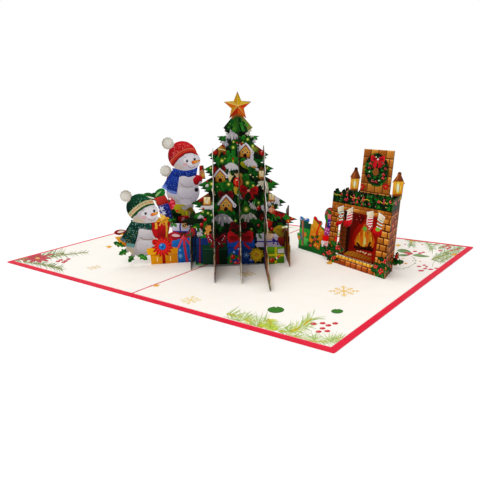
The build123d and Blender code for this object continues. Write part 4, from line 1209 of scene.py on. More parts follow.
def blue_box(pen):
    """Blue box, its flakes and its pink bow."""
    pen.poly([(1215, 950), (1500, 935), (1500, 1222), (1220, 1226)], "1a72bc", "0f4a8a", (1250, 960),
             (1450, 1220))
    pen.poly([(1104, 885), (1200, 860), (1330, 842), (1500, 828), (1500, 945), (1330, 962), (1215, 972),
              (1128, 962)], "2480cc", "1560a8", (1200, 850), (1250, 965))
    pen.line([(1215, 972), (1360, 962), (1500, 945)], 8, "0c3c70")
    each(asterisk, pen, ((1262, 1112, 40), (1440, 1060, 34), (1255, 1020, 18), (1420, 1160, 20)), 12,
         "8fc4ea")
    pen.line([(1316, 835), (1326, 960), (1348, 1090), (1372, 1222)], 36, "d23c50", "b02438", (1320, 850),
             (1370, 1220))
    pen.line([(1290, 825), (1262, 900), (1226, 985)], 30, "dc4a5c")
    pen.line([(1330, 825), (1390, 900), (1448, 970)], 34, "cf3a4c")
    pen.blob([(1292, 815), (1220, 838), (1140, 832), (1096, 790), (1112, 740), (1180, 728), (1255, 772)],
             "c42c3e", "9c1828", (1130, 740), (1200, 835))
    pen.blob([(1125, 790), (1165, 765), (1235, 780), (1252, 805), (1180, 812)], "e8c3c4")
    pen.blob([(1312, 812), (1340, 770), (1400, 735), (1445, 668), (1500, 715), (1496, 780), (1420, 818)],
             "d2404e", "a41c2c", (1440, 690), (1350, 815))
    pen.blob([(1345, 790), (1400, 762), (1455, 738), (1450, 775), (1395, 800)], "3f5f2a")
    pen.oval(1302, 820, 24, 20, "e05a68", n=12)


def rosette_box(pen):
    """Yellow box with a red rosette."""
    pen.poly([(728, 1002), (800, 984), (1226, 984), (1218, 1080), (770, 1108), (738, 1060)], "f4b41c",
             "dc9408", (800, 990), (1000, 1090))
    pen.poly([(772, 1104), (1218, 1078), (1226, 1228), (794, 1256)], "eaa510", "cf8504", (800, 1100),
             (1100, 1240))
    pen.line([(770, 1106), (1000, 1092), (1218, 1079)], 9, "b36a02")
    pen.line([(898, 1130), (902, 1200)], 16, "f6d98c")
    pen.line([(1104, 1116), (1108, 1190)], 14, "f6d98c")
    pen.poly([(970, 1060), (1022, 1060), (1032, 1240), (984, 1242)], "c41818", "8e0c0e", (990, 1080),
             (1010, 1240))
    pen.blob([(972, 930), (900, 940), (836, 920), (815, 872), (860, 850), (920, 872)], "d41c1c", "9c1010",
             (850, 860), (950, 940))
    pen.blob([(985, 930), (1030, 870), (1085, 838), (1130, 860), (1110, 920), (1040, 945)], "e02a24",
             "a41212", (1090, 850), (1000, 940))
    burst(pen, 978, 968, 178, 112, 15, "a80f10", 8)
    burst(pen, 978, 965, 160, 104, 15, "dc1e1c", 2)
    for k in range(15):
        a = radians(24 * k + 2)
        pen.line([polar(978, 965, 60, a), polar(978, 965, 128, a)], 6, "f05a48")
    pen.oval(978, 965, 58, 56, "164f8c", n=20)
    pen.oval(976, 962, 51, 49, "2f86d6", n=20)
    pen.oval(982, 968, 25, 24, "1c64ae", n=14)
    pen.oval(958, 942, 14, 10, "9fd0f4", n=8)


def snowmen(panel):
    """Both snowmen and the gifts round them, in painter's order."""
    upper, lower = Pen(panel, *UPPER_FIGURE, seed=3), Pen(panel, *LOWER_FIGURE, seed=5)
    for part in (upper_body, blue_scarf, upper_head, red_hat):
        part(upper)
    for part in (far_left_holly, star_box, sweets, held_gift, lower_snowman, green_hat, swirl_box, blue_box,
                 rosette_box):
        part(lower)


def bricks(pen, x0, y0, x1, y1, course, length, inks, mortar, joint):
    """Brickwork between two corners, each brick lit along its upper edge and shaded to its foot."""
    pen.box(x0, y0, x1, y1, mortar)
    rows, n = max(1, round((y1 - y0) / course)), max(1, round((x1 - x0) / length))
    h, w = (y1 - y0) / rows, (x1 - x0) / n
    j = joint * h
    for k in range(rows):
        top, x = y0 + k * h, x0 - (0.5 * w if k % 2 else 0.0)
        while x < x1 - 0.01:
            a, b = max(x, x0), min(x + w, x1)
            x += w
            if b - a < w * 0.15:
                continue
            light, dark, edge = pen.r.choice(inks)
            e = [pen.r.uniform(-0.5, 0.7) * j for _ in range(4)]
            pen.poly([(a + j, top + j + e[0]), (b - j, top + j + e[1]), (b - j - e[2], top + h - j),
                      (a + j + e[3], top + h - j)], light, dark, (a, top), (a + (b - a) * 0.4, top + h))
            pen.line([(a + j * 1.6, top + j * 2), (b - j * 1.6, top + j * 2)], h * 0.1, edge)
            pen.oval(pen.r.uniform(a + w * 0.2, b - w * 0.1), top + h * pen.r.uniform(0.4, 0.75), w * 0.06,
                     h * 0.05, dark, n=6)


TAN_BRICKS = (("d08a38", "a4601e", "dca65c"), ("c07c2c", "8e5018", "cc9248"), ("d4963f", "ac6c26", "e0ae6a"),
              ("b67026", "8a4c14", "c88844"))
RED_BRICKS = (("c46a2a", "8a3c12", "dc8c4c"), ("b45a22", "7c340e", "cc7c40"), ("d07c34", "96481a", "e69c58"))
GOLD_TILES = (("f6cf58", "dc9426", "fdeb9e"), ("eebc44", "d0841c", "f8dc86"))


def sprig(pen, x, y, r, n, start, red="c41a22"):
    """Holly sprig: leaves out of one point and a cluster of berries over it."""
    for i in range(n):
        a = start + 360 * i / n + pen.r.uniform(-12, 12)
        ink, vein = pen.r.choice((("0e4016", "2f7030"), ("0a2e10", "225626"), ("15561d", "529040")))
        leaf(pen, x, y, r * pen.r.uniform(0.85, 1.1), a, ink, vein, 0.34)
    for i in range(4):
        berry(pen, *polar(x, y, r * 0.19, radians(start + 90 * i)), r * 0.15, red)


def fir_band(pen, x0, x1, y, half, step):
    """Fir garland along a line, with clusters of berries, a few gold strands and small lights."""
    n = int((x1 - x0) / step)
    pen.box(x0, y - half, x1, y + half, "041a08")
    for row in (0.62, -0.62, 0.0, 0.35, -0.35):
        for i in range(n + 1):
            x = x0 + (x1 - x0) * i / n
            inks = needle_inks(pen, 0.1, 0.3)
            fan(pen, x, y + row * half + pen.r.uniform(-0.6, 0.6), half * 0.55, 0, 360, 7, half * 0.16, inks)
    for i in range(max(2, int((x1 - x0) / 14))):
        x = x0 + 4 + 14 * i + pen.r.uniform(-2, 2)
        v = y - half * 0.3
        pen.line([(x, v - 0.6), (x + 2.4, v + 0.5), (x + 5.0, v - 0.2), (x + 7.2, v + 0.7)], half * 0.11,
                 "c8a834")
    for i in range(int(n * 0.42)):
        x, v = pen.r.uniform(x0, x1), y + pen.r.uniform(-0.6, 0.7) * half
        red = pen.r.choice(("b01420", "8c0f1c", "c41a22", "a81c30"))
        for u, q in ((-0.13, 0.0), (0.13, 0.04), (0.0, -0.18)):
            berry(pen, x + u * half, v + q * half, half * 0.15, red)
    for i in range(int(n * 0.25)):
        pen.oval(pen.r.uniform(x0, x1), y + pen.r.uniform(-0.8, 0.8) * half, half * 0.07, half * 0.07,
                 pen.r.choice(("f2ead0", "e89a9a", "d8c060")), n=6)


def wreath(pen, x, y, rx, ry, band):
    """Ring of fir with berries and small lights."""
    pen.oval(x, y, rx * (1 + band * 0.42), ry * (1 + band * 0.36), "06240c", n=30)
    for k in range(3):
        for i in range(44):
            a = 2 * pi * i / 44
            q = 1.0 + (k - 1) * band * 0.36
            inks = needle_inks(pen, 0.25, 0.4)
            fan(pen, x + rx * q * cos(a), y + ry * q * sin(a), rx * band * 0.3, 0, 360, 7, rx * 0.08, inks)
    for i in range(15):
        a, q = 2 * pi * (i + pen.r.uniform(-0.3, 0.3)) / 15, pen.r.uniform(0.86, 1.14)
        px, py = x + rx * q * cos(a), y + ry * q * sin(a)
        if i % 4 == 3:
            pen.oval(px, py, rx * 0.08, rx * 0.08, "efe8c8", n=8)
            continue
        red = pen.r.choice(("b81822", "9a1020", "8c0f1c"))
        for u, v in ((-1, 0), (1, 0.3), (0, -1.3)):
            berry(pen, px + u * rx * 0.1, py + v * rx * 0.1, rx * 0.12, red)


def stocking_print(pen, cuff, leg, toe, inks, stripes):
    """Hanging stocking: a knitted cuff, a patterned leg and a plain toe."""
    pen.blob(toe, inks[2], inks[3], toe[0], toe[len(toe) // 2], n=3)
    pen.poly(leg, inks[0])
    (ax, ay), (bx, by), (cx, cy), (dx, dy) = leg
    for i in range(stripes):
        t = (i + 0.5) / stripes
        p = (ax + (dx - ax) * t, ay + (dy - ay) * t)
        q = (bx + (cx - bx) * t, by + (cy - by) * t)
        pen.line([p, ((p[0] + q[0]) / 2, (p[1] + q[1]) / 2 + 3), q], 9,
                 inks[1 + i % 2] if i % 2 else "efe8e0")
    pen.poly(cuff, "e9e0d0", "b8a88c", cuff[0], cuff[2])
    for i in range(5):
        t = (i + 0.5) / 5
        p = (cuff[0][0] + (cuff[1][0] - cuff[0][0]) * t, cuff[0][1] + (cuff[1][1] - cuff[0][1]) * t)
        q = (cuff[3][0] + (cuff[2][0] - cuff[3][0]) * t, cuff[3][1] + (cuff[2][1] - cuff[3][1]) * t)
        pen.line([p, q], 4, "cdbfa4")
    pen.line([cuff[0], cuff[1]], 5, "fbf6ea")


def hearth_front(panel):
    """Bricks, tiles and fir of the front, then its stockings, a candle and holly."""
    own = own_pen(panel, 21)
    bricks(own, -2.0, -44.0, 8.6, 0.5, course=3.7, length=4.9, inks=TAN_BRICKS, mortar="54280e", joint=0.1)
    bricks(own, 46.9, -44.0, 58.5, 0.5, course=4.3, length=5.4, inks=TAN_BRICKS, mortar="54280e", joint=0.1)
    bricks(own, 0.0, -44.4, 57.0, -38.2, course=3.1, length=6.4, inks=TAN_BRICKS, mortar="6a3812", joint=0.08)
    own.poly([(0, -44.5), (57, -44.5), (57, -43.2), (0, -43.2)], "3a1a08")
    own.poly([(8.4, -38.6), (47.2, -38.6), (47.2, -39.2), (8.4, -39.2)], "8a4a1c")
    bricks(own, 8.6, -4.2, 47.0, 0.5, course=4.3, length=5.4, inks=RED_BRICKS, mortar="6a2a0a", joint=0.1)
    bricks(own, 8.6, -7.0, 47.0, -4.1, course=2.8, length=3.4, inks=GOLD_TILES, mortar="9a5a14", joint=0.12)
    fir_band(own, -1.5, 59.0, -47.4, 4.1, 1.1)
    pen = Pen(panel, *FIREPLACE, seed=22)
    stocking_print(pen, [(372, 762), (432, 742), (430, 792), (374, 806)],
                   [(378, 806), (428, 794), (424, 884), (384, 890)],
                   [(384, 888), (352, 912), (350, 935), (376, 942), (410, 912), (424, 884)],
                   ("3c7a34", "c42020", "d01a20", "8c0c12"), 5)
    pen.oval(402, 845, 15, 17, "e8e0d8", n=10)
    pen.oval(402, 845, 8, 9, "2a5a2c", n=8)
    stocking_print(pen, [(458, 792), (524, 756), (526, 800), (466, 826)],
                   [(468, 826), (524, 806), (512, 884), (462, 900)],
                   [(462, 898), (430, 922), (424, 950), (452, 958), (492, 920), (512, 884)],
                   ("c42424", "4a7a34", "c41c22", "7c0c12"), 6)
    stocking_print(pen, [(656, 806), (722, 796), (726, 856), (660, 862)],
                   [(662, 862), (722, 858), (716, 944), (672, 950)],
                   [(672, 948), (630, 952), (614, 972), (626, 994), (670, 990), (714, 974), (716, 944)],
                   ("c8242c", "f2eae6", "b01c24", "6a8a2c"), 7)
    pen.oval(640, 966, 20, 17, "5f9a3a", n=10)
    for x, y in ((690, 958), (700, 975), (680, 970)):
        pen.oval(x, y, 5, 5, "f6eeee", n=6)
    stocking_print(pen, [(776, 808), (838, 860), (820, 902), (764, 868)],
                   [(764, 868), (818, 902), (800, 976), (744, 950)],
                   [(744, 948), (724, 980), (736, 1030), (766, 1052), (800, 1030), (802, 976)],
                   ("3a7a30", "d02a2a", "d41c20", "8c0c12"), 5)
    pen.oval(765, 975, 24, 20, "7aa83a", n=10)
    # Candle and holly at the foot.
    pen.poly([(342, 1050), (376, 1042), (380, 1110), (350, 1116)], "c81c1c")
    each(sprig, pen, ((285, 1205, 88, 6, 20), (375, 1150, 92, 6, 50), (232, 1225, 60, 4, 0),
                      (402, 1090, 60, 3, 240), (792, 1385, 92, 6, 10), (840, 1290, 84, 5, 70),
                      (745, 1340, 66, 4, 160), (335, 1250, 60, 4, 30)))


def fire(pen):
    """Fire in the opening, with the dark jamb at its left."""
    pen.poly([(440, 790), (560, 800), (520, 960), (480, 1260), (430, 1250)], "34100a", "5a200c", (450, 900),
             (520, 900))
    pen.poly([(398, 940), (462, 940), (440, 1200), (385, 1200)], "9a5224")
    for i in range(6):
        y = 955 + 40 * i
        pen.line([(396 - 3 * i, y), (462 - 4 * i, y + 6)], 5, "4a1c0a")
        pen.line([((430 if i % 2 else 418) - 3 * i, y), ((428 if i % 2 else 416) - 3 * i, y + 40)], 4,
                 "4a1c0a")
    pen.poly([(520, 800), (830, 870), (770, 1300), (470, 1200), (500, 960)], "7c1408", "b81e10", (520, 900),
             (700, 1100))
    pen.blob([(520, 1140), (515, 1040), (555, 960), (620, 880), (700, 860), (745, 920), (740, 1060),
              (725, 1180), (600, 1190)], "c4200e", "a4150c", (620, 900), (620, 1180), n=3)
    pen.blob([(545, 1120), (550, 1060), (585, 1000), (600, 1040), (612, 960), (632, 918), (650, 970),
              (665, 1020), (690, 1000), (705, 1060), (722, 1120), (700, 1160), (560, 1150)], "d04a10",
             "ee8420", (620, 920), (620, 1120), n=3)
    for i in range(13):
        x, sway = 556 + 13 * i, pen.r.uniform(-16, 16)
        top = 1056 - 112 * sin(pi * (i + 0.6) / 13) + pen.r.uniform(-26, 26)
        pen.line([(x, 1142), (x + sway, (1142 + top) / 2), (x + 4 - sway * 0.4, top)], 25,
                 ("e8781a", "f4ac2c", "f6d048", "ee8c1c")[i % 4], taper=True)
    pen.blob([(622, 1120), (630, 1082), (641, 1046), (648, 1086), (646, 1120)], "fce890", n=3)
    for a, b, w in (((530, 1140), (720, 1178), 30), ((545, 1165), (705, 1150), 26),
                    ((560, 1105), (600, 1160), 20), ((690, 1100), (660, 1170), 20)):
        pen.line([a, b], w, "2a0a06")
        pen.line([(a[0] + 6, a[1] - w * 0.22), (b[0] - 6, b[1] - w * 0.22)], w * 0.22, "7a3014")
    for i in range(14):
        pen.oval(560 + 11.5 * i, 1188 + 2.6 * i + pen.r.uniform(-8, 8), 10, 8,
                 pen.r.choice(("f0a87c", "e0563a", "f6d0a0", "8c2414")), n=8)
    pen.poly([(470, 1186), (520, 1188), (704, 1252), (690, 1280), (430, 1216)], "d8922c", "b0641c",
             (480, 1200), (690, 1260))
    for i in range(7):
        pen.line([(490 + 30 * i, 1186 + 9 * i), (462 + 31 * i, 1216 + 9 * i)], 4, "7a4414")
    pen.poly([(430, 1216), (690, 1280), (690, 1350), (420, 1290)], "c8601c", "a4440e", (440, 1220),
             (680, 1340))
    for i in range(6):
        pen.line([(470 + 42 * i, 1228 + 10 * i), (464 + 42 * i, 1290 + 10 * i)], 5, "6a260a")
    pen.blob([(570, 850), (600, 830), (640, 870), (600, 920), (580, 900)], "6a1410")
    each(berry, pen, ((590, 850), (560, 880), (600, 885)), 13, "a01a1a")


def chimney_wreath(pen):
    """Wreath with its bow and a painted shadow on the chimney breast, and two flowers below it."""
    # Brown oval behind the wreath: its painted shadow on the chimney breast.
    pen.oval(758, 396, 119, 160, "6a3a14", n=30)
    wreath(pen, 752, 390, 80, 116, 0.95)
    pen.oval(744, 410, 30, 38, "8a5424", n=16)
    bow(pen, 765, 292, 68, "d81c2c", "8e0c18", 4)
    pen.oval(766, 288, 9, 9, "f8d8d8", n=8)
    pen.poly([(748, 300), (766, 300), (740, 385), (728, 362), (708, 372)], "c41828")
    pen.poly([(768, 300), (782, 300), (802, 372), (780, 364), (764, 385)], "b41424")
    for x in (605, 842):
        flower(pen, x, 556, 42, "d0241c", "8a0f12", "7a0a0c", 6)


def lanterns(pen):
    """Both lanterns."""
    for x0, x1, apex, eave, foot, lean in ((492, 592, 375, 466, 588, 12), (906, 1030, 395, 494, 642, 20)):
        m, w = (x0 + x1) / 2, (x1 - x0)
        pen.oval(m + 6, apex + 12, w * 0.1, w * 0.1, "4a2410", n=10)
        pen.line([(m + 6, apex + 10), (m + 5, apex + 40)], w * 0.14, "6a3416")
        pen.poly([(x0 - 6, eave), (m - 6, apex + 32), (m + 20, apex + 32), (x1 + 4, eave),
                  (x1 - 10, eave + 14), (x0 + 4, eave + 14)], "a85a28", "5a2810", (x0, eave), (x1, eave))
        pen.line([(m, apex + 34), (m - w * 0.16, eave)], w * 0.04, "d08850")
        pen.poly([(x0 + 4, eave + 12), (x1 - 8, eave + 12), (x1 - 8 - lean, foot - 8),
                  (x0 - lean * 0.4, foot - 8)], "f2b23c", "e08a18", (m, eave), (m, foot))
        pen.oval(m - lean * 0.3, (eave + foot) / 2, w * 0.25, (foot - eave) * 0.38, "f8cc58", n=16)
        pen.oval(m - lean * 0.3, (eave + foot) / 2, w * 0.12, (foot - eave) * 0.26, "fdf2c0", n=14)
        for t in (0.02, 0.36, 0.68, 1.0):
            pen.line([(x0 + 4 + (w - 12) * t, eave + 12),
                      (x0 - lean * 0.4 + (w - 8 - lean * 0.6) * t, foot - 8)], w * 0.045, "b87420")
        pen.poly([(x0 - 14, foot - 12), (x1 - 8 - lean, foot - 12), (x1 - 2 - lean, foot + 4),
                  (x0 - 20, foot + 4)], "b06a24", "7a3c10", (x0, foot - 12), (x0, foot + 4))


def hearth_back_print(panel):
    """Bricks, chimney breast and fir, then the fire, the wreath, the lanterns and holly."""
    own = own_pen(panel, 31)
    bricks(own, -8.5, -46.0, 48.5, 0.5, course=4.4, length=6.6, inks=RED_BRICKS, mortar="3a160a", joint=0.1)
    bricks(own, 8.8, -80.0, 37.7, -44.0, course=6.05, length=7.4, inks=TAN_BRICKS, mortar="6a3a14",
           joint=0.06)
    fir_band(own, -9.0, 49.5, -45.0, 4.0, 1.2)
    pen = Pen(panel, *FIREPLACE, seed=32)
    fire(pen)
    chimney_wreath(pen)
    lanterns(pen)
    each(sprig, pen, ((905, 1300, 100, 6, 20), (960, 1240, 92, 5, 280), (950, 1340, 70, 4, 60),
                      (300, 1260, 80, 4, 10)))


def hearth_side(panel):
    """Folded side of the fireplace: darker bricks, the fir on top, two flowers and two sprigs."""
    pen = own_pen(panel, 41)
    dark = (("b46424", "7c3810", "c88442"), ("a4541c", "6c2c0c", "b87236"), ("c07430", "864418", "d0904e"))
    bricks(pen, -1.0, -46.0, 22.0, 0.5, course=5.2, length=7.6, inks=dark, mortar="3a1808", joint=0.08)
    fir_band(pen, -1.0, 21.0, -47.4, 4.1, 1.1)
    pen.poly([(-1, -43.6), (22, -43.6), (22, -42.6), (-1, -42.6)], "2a1006")
    flower(pen, 10.5, -33.0, 4.6, "b41418", "6a0a0e", "c8a03a", 6)
    flower(pen, 15.0, -37.5, 3.0, "8c0f14", "4a0608", "c8a03a", 6)
    sprig(pen, 4.0, -6.0, 6.4, 6, 15)
    sprig(pen, 13.0, -4.5, 6.0, 6, 50)


def blossom_box(pen):
    """Green box with blossoms and a blue bow."""
    pen.poly([(130, 640), (290, 640), (610, 700), (620, 1120), (430, 1110), (130, 1000)], "3a9a34", "146a28",
             (300, 700), (560, 1100))
    pen.poly([(270, 470), (630, 540), (610, 706), (280, 650)], "0f5a40", "0a3a2c", (300, 480), (600, 680))
    for x, y, r, ink in ((470, 830, 70, "c07a28"), (335, 905, 60, "b86424"), (215, 850, 60, "a89a24"),
                         (230, 730, 44, "8c9c24"), (540, 960, 40, "7cc050")):
        flower(pen, x, y, r, ink, "c06a20" if r > 50 else "7a9a2a", "a03a18", 6, 15)
    pen.blob([(470, 900), (560, 960), (560, 1060), (480, 1080), (440, 1000)], "56a850", "2f8a3c", (480, 920),
             (520, 1070), n=3)
    pen.line([(436, 480), (440, 700), (432, 1090)], 46, "8c5444", "6a4a38", (430, 500), (430, 1080))
    pen.line([(420, 490), (424, 700), (416, 1090)], 10, "b87a60")
    pen.line([(375, 790), (395, 880), (412, 960)], 36, "2a6a7a")
    for pts, hole in (([(440, 470), (400, 330), (338, 255), (300, 320), (298, 420), (345, 480)],
                       [(338, 375), (372, 420), (412, 482), (350, 450)]),
                      ([(446, 480), (470, 390), (560, 312), (612, 320), (610, 440), (590, 505), (520, 515)],
                       [(570, 418), (500, 450), (470, 488), (560, 455)])):
        pen.blob(pts, "2280d0", "0a2f74", pts[2], (pts[0][0], 500))
        pen.line([pts[0], pts[1], pts[2]], 10, "5aa6e6")
        pen.blob(hole, "e6eef8", n=3)


def tilted_box(pen):
    """Tilted yellow box with a red bow."""
    pen.poly([(640, 610), (940, 846), (905, 920), (822, 1205), (700, 1110), (585, 975)], "c07a12", "965408",
             (640, 640), (820, 1180))
    pen.poly([(655, 455), (690, 440), (990, 800), (945, 856), (636, 625)], "cc9024", "a86c12", (660, 460),
             (960, 820))
    pen.line([(636, 622), (945, 852)], 12, "a8660c")
    pen.poly([(832, 560), (868, 580), (800, 760), (790, 870), (750, 850), (758, 770)], "c82418", "9a1410",
             (850, 570), (770, 860))
    for x, y in ((705, 820), (840, 820), (650, 905), (735, 1080), (815, 1010), (660, 700), (880, 740),
                 (790, 1120)):
        pen.oval(x, y, 16, 14, "d8b060", n=7)
        pen.oval(x, y, 6, 6, "c86a10", n=6)
    pen.blob([(850, 565), (770, 520), (700, 430), (705, 380), (762, 305), (830, 400), (860, 500)], "cc141c",
             "7a0810", (740, 330), (850, 540))
    pen.line([(845, 545), (790, 440), (762, 330)], 12, "ee4a44")
    pen.blob([(862, 565), (930, 510), (990, 520), (1010, 590), (1000, 660), (930, 650), (880, 610)], "b0141c",
             "6a0810", (940, 520), (960, 650))
    pen.blob([(880, 570), (935, 570), (970, 610), (940, 625), (900, 600)], "f0e2e0", n=3)
    pen.oval(855, 555, 26, 28, "8c0c12", n=12)


def stacked_boxes(pen):
    """Stacked boxes by the column: pink, violet and red."""
    pen.poly([(1035, 290), (1140, 325), (1130, 480), (1036, 455)], "d06a68", "a84050", (1040, 300),
             (1110, 470))
    pen.poly([(1045, 455), (1130, 480), (1110, 690), (1020, 665)], "4a2a94", "22125a", (1060, 470),
             (1080, 680))
    pen.poly([(960, 650), (1100, 680), (1075, 870), (950, 840)], "a83a80", "6a1c5a", (980, 660), (1060, 860))
    each(burst, pen, ((1000, 700), (1050, 720), (985, 760), (1035, 790), (1065, 840), (1070, 540),
                      (1085, 600)), 22, 8, 5, "e0a8d8", 10)
    pen.poly([(905, 845), (1070, 862), (1050, 1000), (915, 985)], "dc1410", "a80a0c", (910, 850),
             (1030, 1000))
    pen.poly([(915, 985), (1050, 1000), (1030, 1140), (885, 1120)], "f0dede", "d8a8a8", (930, 990),
             (1000, 1130))
    for k in range(4):
        pen.line([(930 - 8 * k, 1010 + 32 * k), (1042 - 6 * k, 1022 + 32 * k)], 14, "d02428")
    pen.blob([(880, 985), (930, 985), (935, 1060), (895, 1100)], "f6ece6", n=3)


def row_of_gifts(panel):
    """Green ground of the row, its gifts from left to right, and the holly over them."""
    own_pen(panel, 51).box(-44.0, -34.0, 6.0, 1.0, "1f6a24", "0f4a18", (-30, -30), (-30, 0))
    pen = Pen(panel, *GIFTS, seed=52)
    blossom_box(pen)
    tilted_box(pen)
    stacked_boxes(pen)
    each(sprig, pen, ((730, 950, 130, 4, 30), (620, 1090, 120, 4, 60), (880, 320, 120, 5, 40),
                      (1060, 215, 150, 5, 90), (880, 430, 80, 4, 200), (1120, 240, 110, 4, 10)), "a41420")
    for x, y in ((940, 230), (975, 270), (930, 310), (1010, 190), (1040, 150), (1060, 200), (990, 330),
                 (950, 370), (1000, 250), (1020, 300)):
        berry(pen, x, y, 30, pen.r.choice(("8c101c", "a81420", "6a0c14")))


def flake(pen, u, v, half, ink):
    """Eight-armed snowflake on a page, about a point of the pen, as wide as half says."""
    (x0, y0), (x1, y1) = pen.put((u - half, v)), pen.put((u + half, v))
    cx, cy, r = (x0 + x1) / 2, (y0 + y1) / 2, hypot(x1 - x0, y1 - y0) / 2
    turn = degrees(atan2(y0 - y1, x1 - x0))
    p = own_pen(pen.panel)
    for k in range(8):
        put = turned(cx, -cy, r * (1.0 if k % 2 == 0 else 0.82), turn + 45 * k)
        p.line(put([(0.0, 0.0), (0.98, 0.0)]), r * 0.085, ink)
        for at, q in ((0.5, 0.24), (0.72, 0.2)):
            for m in (-1, 1):
                p.line(put([(at, 0.0), (at + q * 0.6, m * q * 0.8)]), r * 0.07, ink)
        p.poly(put([(0.2, -0.06), (0.3, 0.0), (0.2, 0.06), (0.1, 0.0)]), ink)
    p.oval(cx, -cy, r * 0.09, r * 0.09, ink, n=8)


def spray(pen, pts, r, n, inks, stem="c3bf58"):
    """Pine sprig printed on a page: a stem with long pale needles on both sides."""
    k = len(pts) - 1
    n = int(n * 1.4)
    for i in range(n):
        t = i / n * k
        a, b = pts[int(t)], pts[int(t) + 1]
        f = t - int(t)
        x, y = a[0] + (b[0] - a[0]) * f, a[1] + (b[1] - a[1]) * f
        d = atan2(b[1] - a[1], b[0] - a[0]) + (-1) ** i * radians(pen.r.uniform(28, 62))
        q = r * pen.r.uniform(0.7, 1.35)
        e = (x + q * cos(d), y + q * sin(d) * 0.8)
        m = ((x + e[0]) / 2 + q * 0.05, (y + e[1]) / 2 - q * 0.05)
        pen.line([(x, y), m, e], r * 0.12, pen.r.choice(inks), taper=True)
    pen.line(pts, r * 0.11, stem)


PALE_NEEDLES = ("cddc9c", "b4ca74", "dce6bc", "a4be64", "e6eccc")


def hearth_floor_and_shade(panel):
    """Brown floor between the two sheets of the fireplace: a hearth base printed on the page that is also
    painted shade, darkest at the back of the recess.
    """
    pen = own_pen(panel)
    corners = [hearth + hearth_dir * a + hearth_back * b
               for a, b in ((8.0, 0.6), (48.0, 0.6), (49.0, 16.4), (2.0, 16.4))]
    # Darker towards the back of the fireplace: painted shade.
    pen.poly([(q.x, -q.y) for q in corners], "a4480f", "4a1608", (corners[0].x, -corners[0].y),
             (corners[3].x, -corners[3].y))


def left_corner(pen):
    """Corner at the left: snowflakes, sprays, a red flower, berries and gold pieces."""
    flake(pen, 615, 245, 52, "f4d8a4")
    flake(pen, 1245, 458, 76, "fae094")
    for pts, r, n in (([(70, 200), (250, 175), (420, 150)], 60, 34),
                      ([(300, 180), (430, 160), (575, 145)], 34, 26),
                      ([(150, 205), (280, 225), (400, 250)], 44, 30),
                      ([(120, 190), (230, 150), (350, 132)], 40, 20),
                      ([(240, 215), (340, 235), (410, 262)], 36, 20)):
        spray(pen, pts, r, n, ("9fb07a", "7f9a5a", "b8c49a", "68864c", "c8d0b0"), "9c9448")
    for i in range(9):
        a = radians(40 * i)
        x, y = 245 + 62 * cos(a), 184 + 20 * sin(a)
        pen.blob([(245, 184), (245 + 50 * cos(a - 0.4), 184 + 17 * sin(a - 0.4)),
                  (245 + 98 * cos(a), 184 + 31 * sin(a)),
                  (245 + 50 * cos(a + 0.4), 184 + 17 * sin(a + 0.4))], "d86a6e", "c04a56", (x, y - 20),
                 (x, y + 20), n=3)
    pen.oval(245, 184, 16, 6, "e8c070", n=10)
    for x, y in ((378, 205), (414, 211), (446, 190), (430, 202), (398, 196), (160, 196), (330, 160)):
        pen.oval(x, y, 15, 6, "cf5560", n=10)
        pen.oval(x - 3, y - 2, 5, 2, "eeb0b0", n=6)
    for x, y, w in ((712, 110, 24), (1018, 362, 32)):
        pen.poly([(x - w, y - 2), (x - w * 0.3, y - 5), (x, y - 10), (x + w * 0.4, y - 6), (x + w, y - 4),
                  (x + w * 0.5, y + 3), (x + w * 0.3, y + 11), (x, y + 6), (x - w * 0.5, y + 11),
                  (x - w * 0.4, y + 3)], "efbb44")


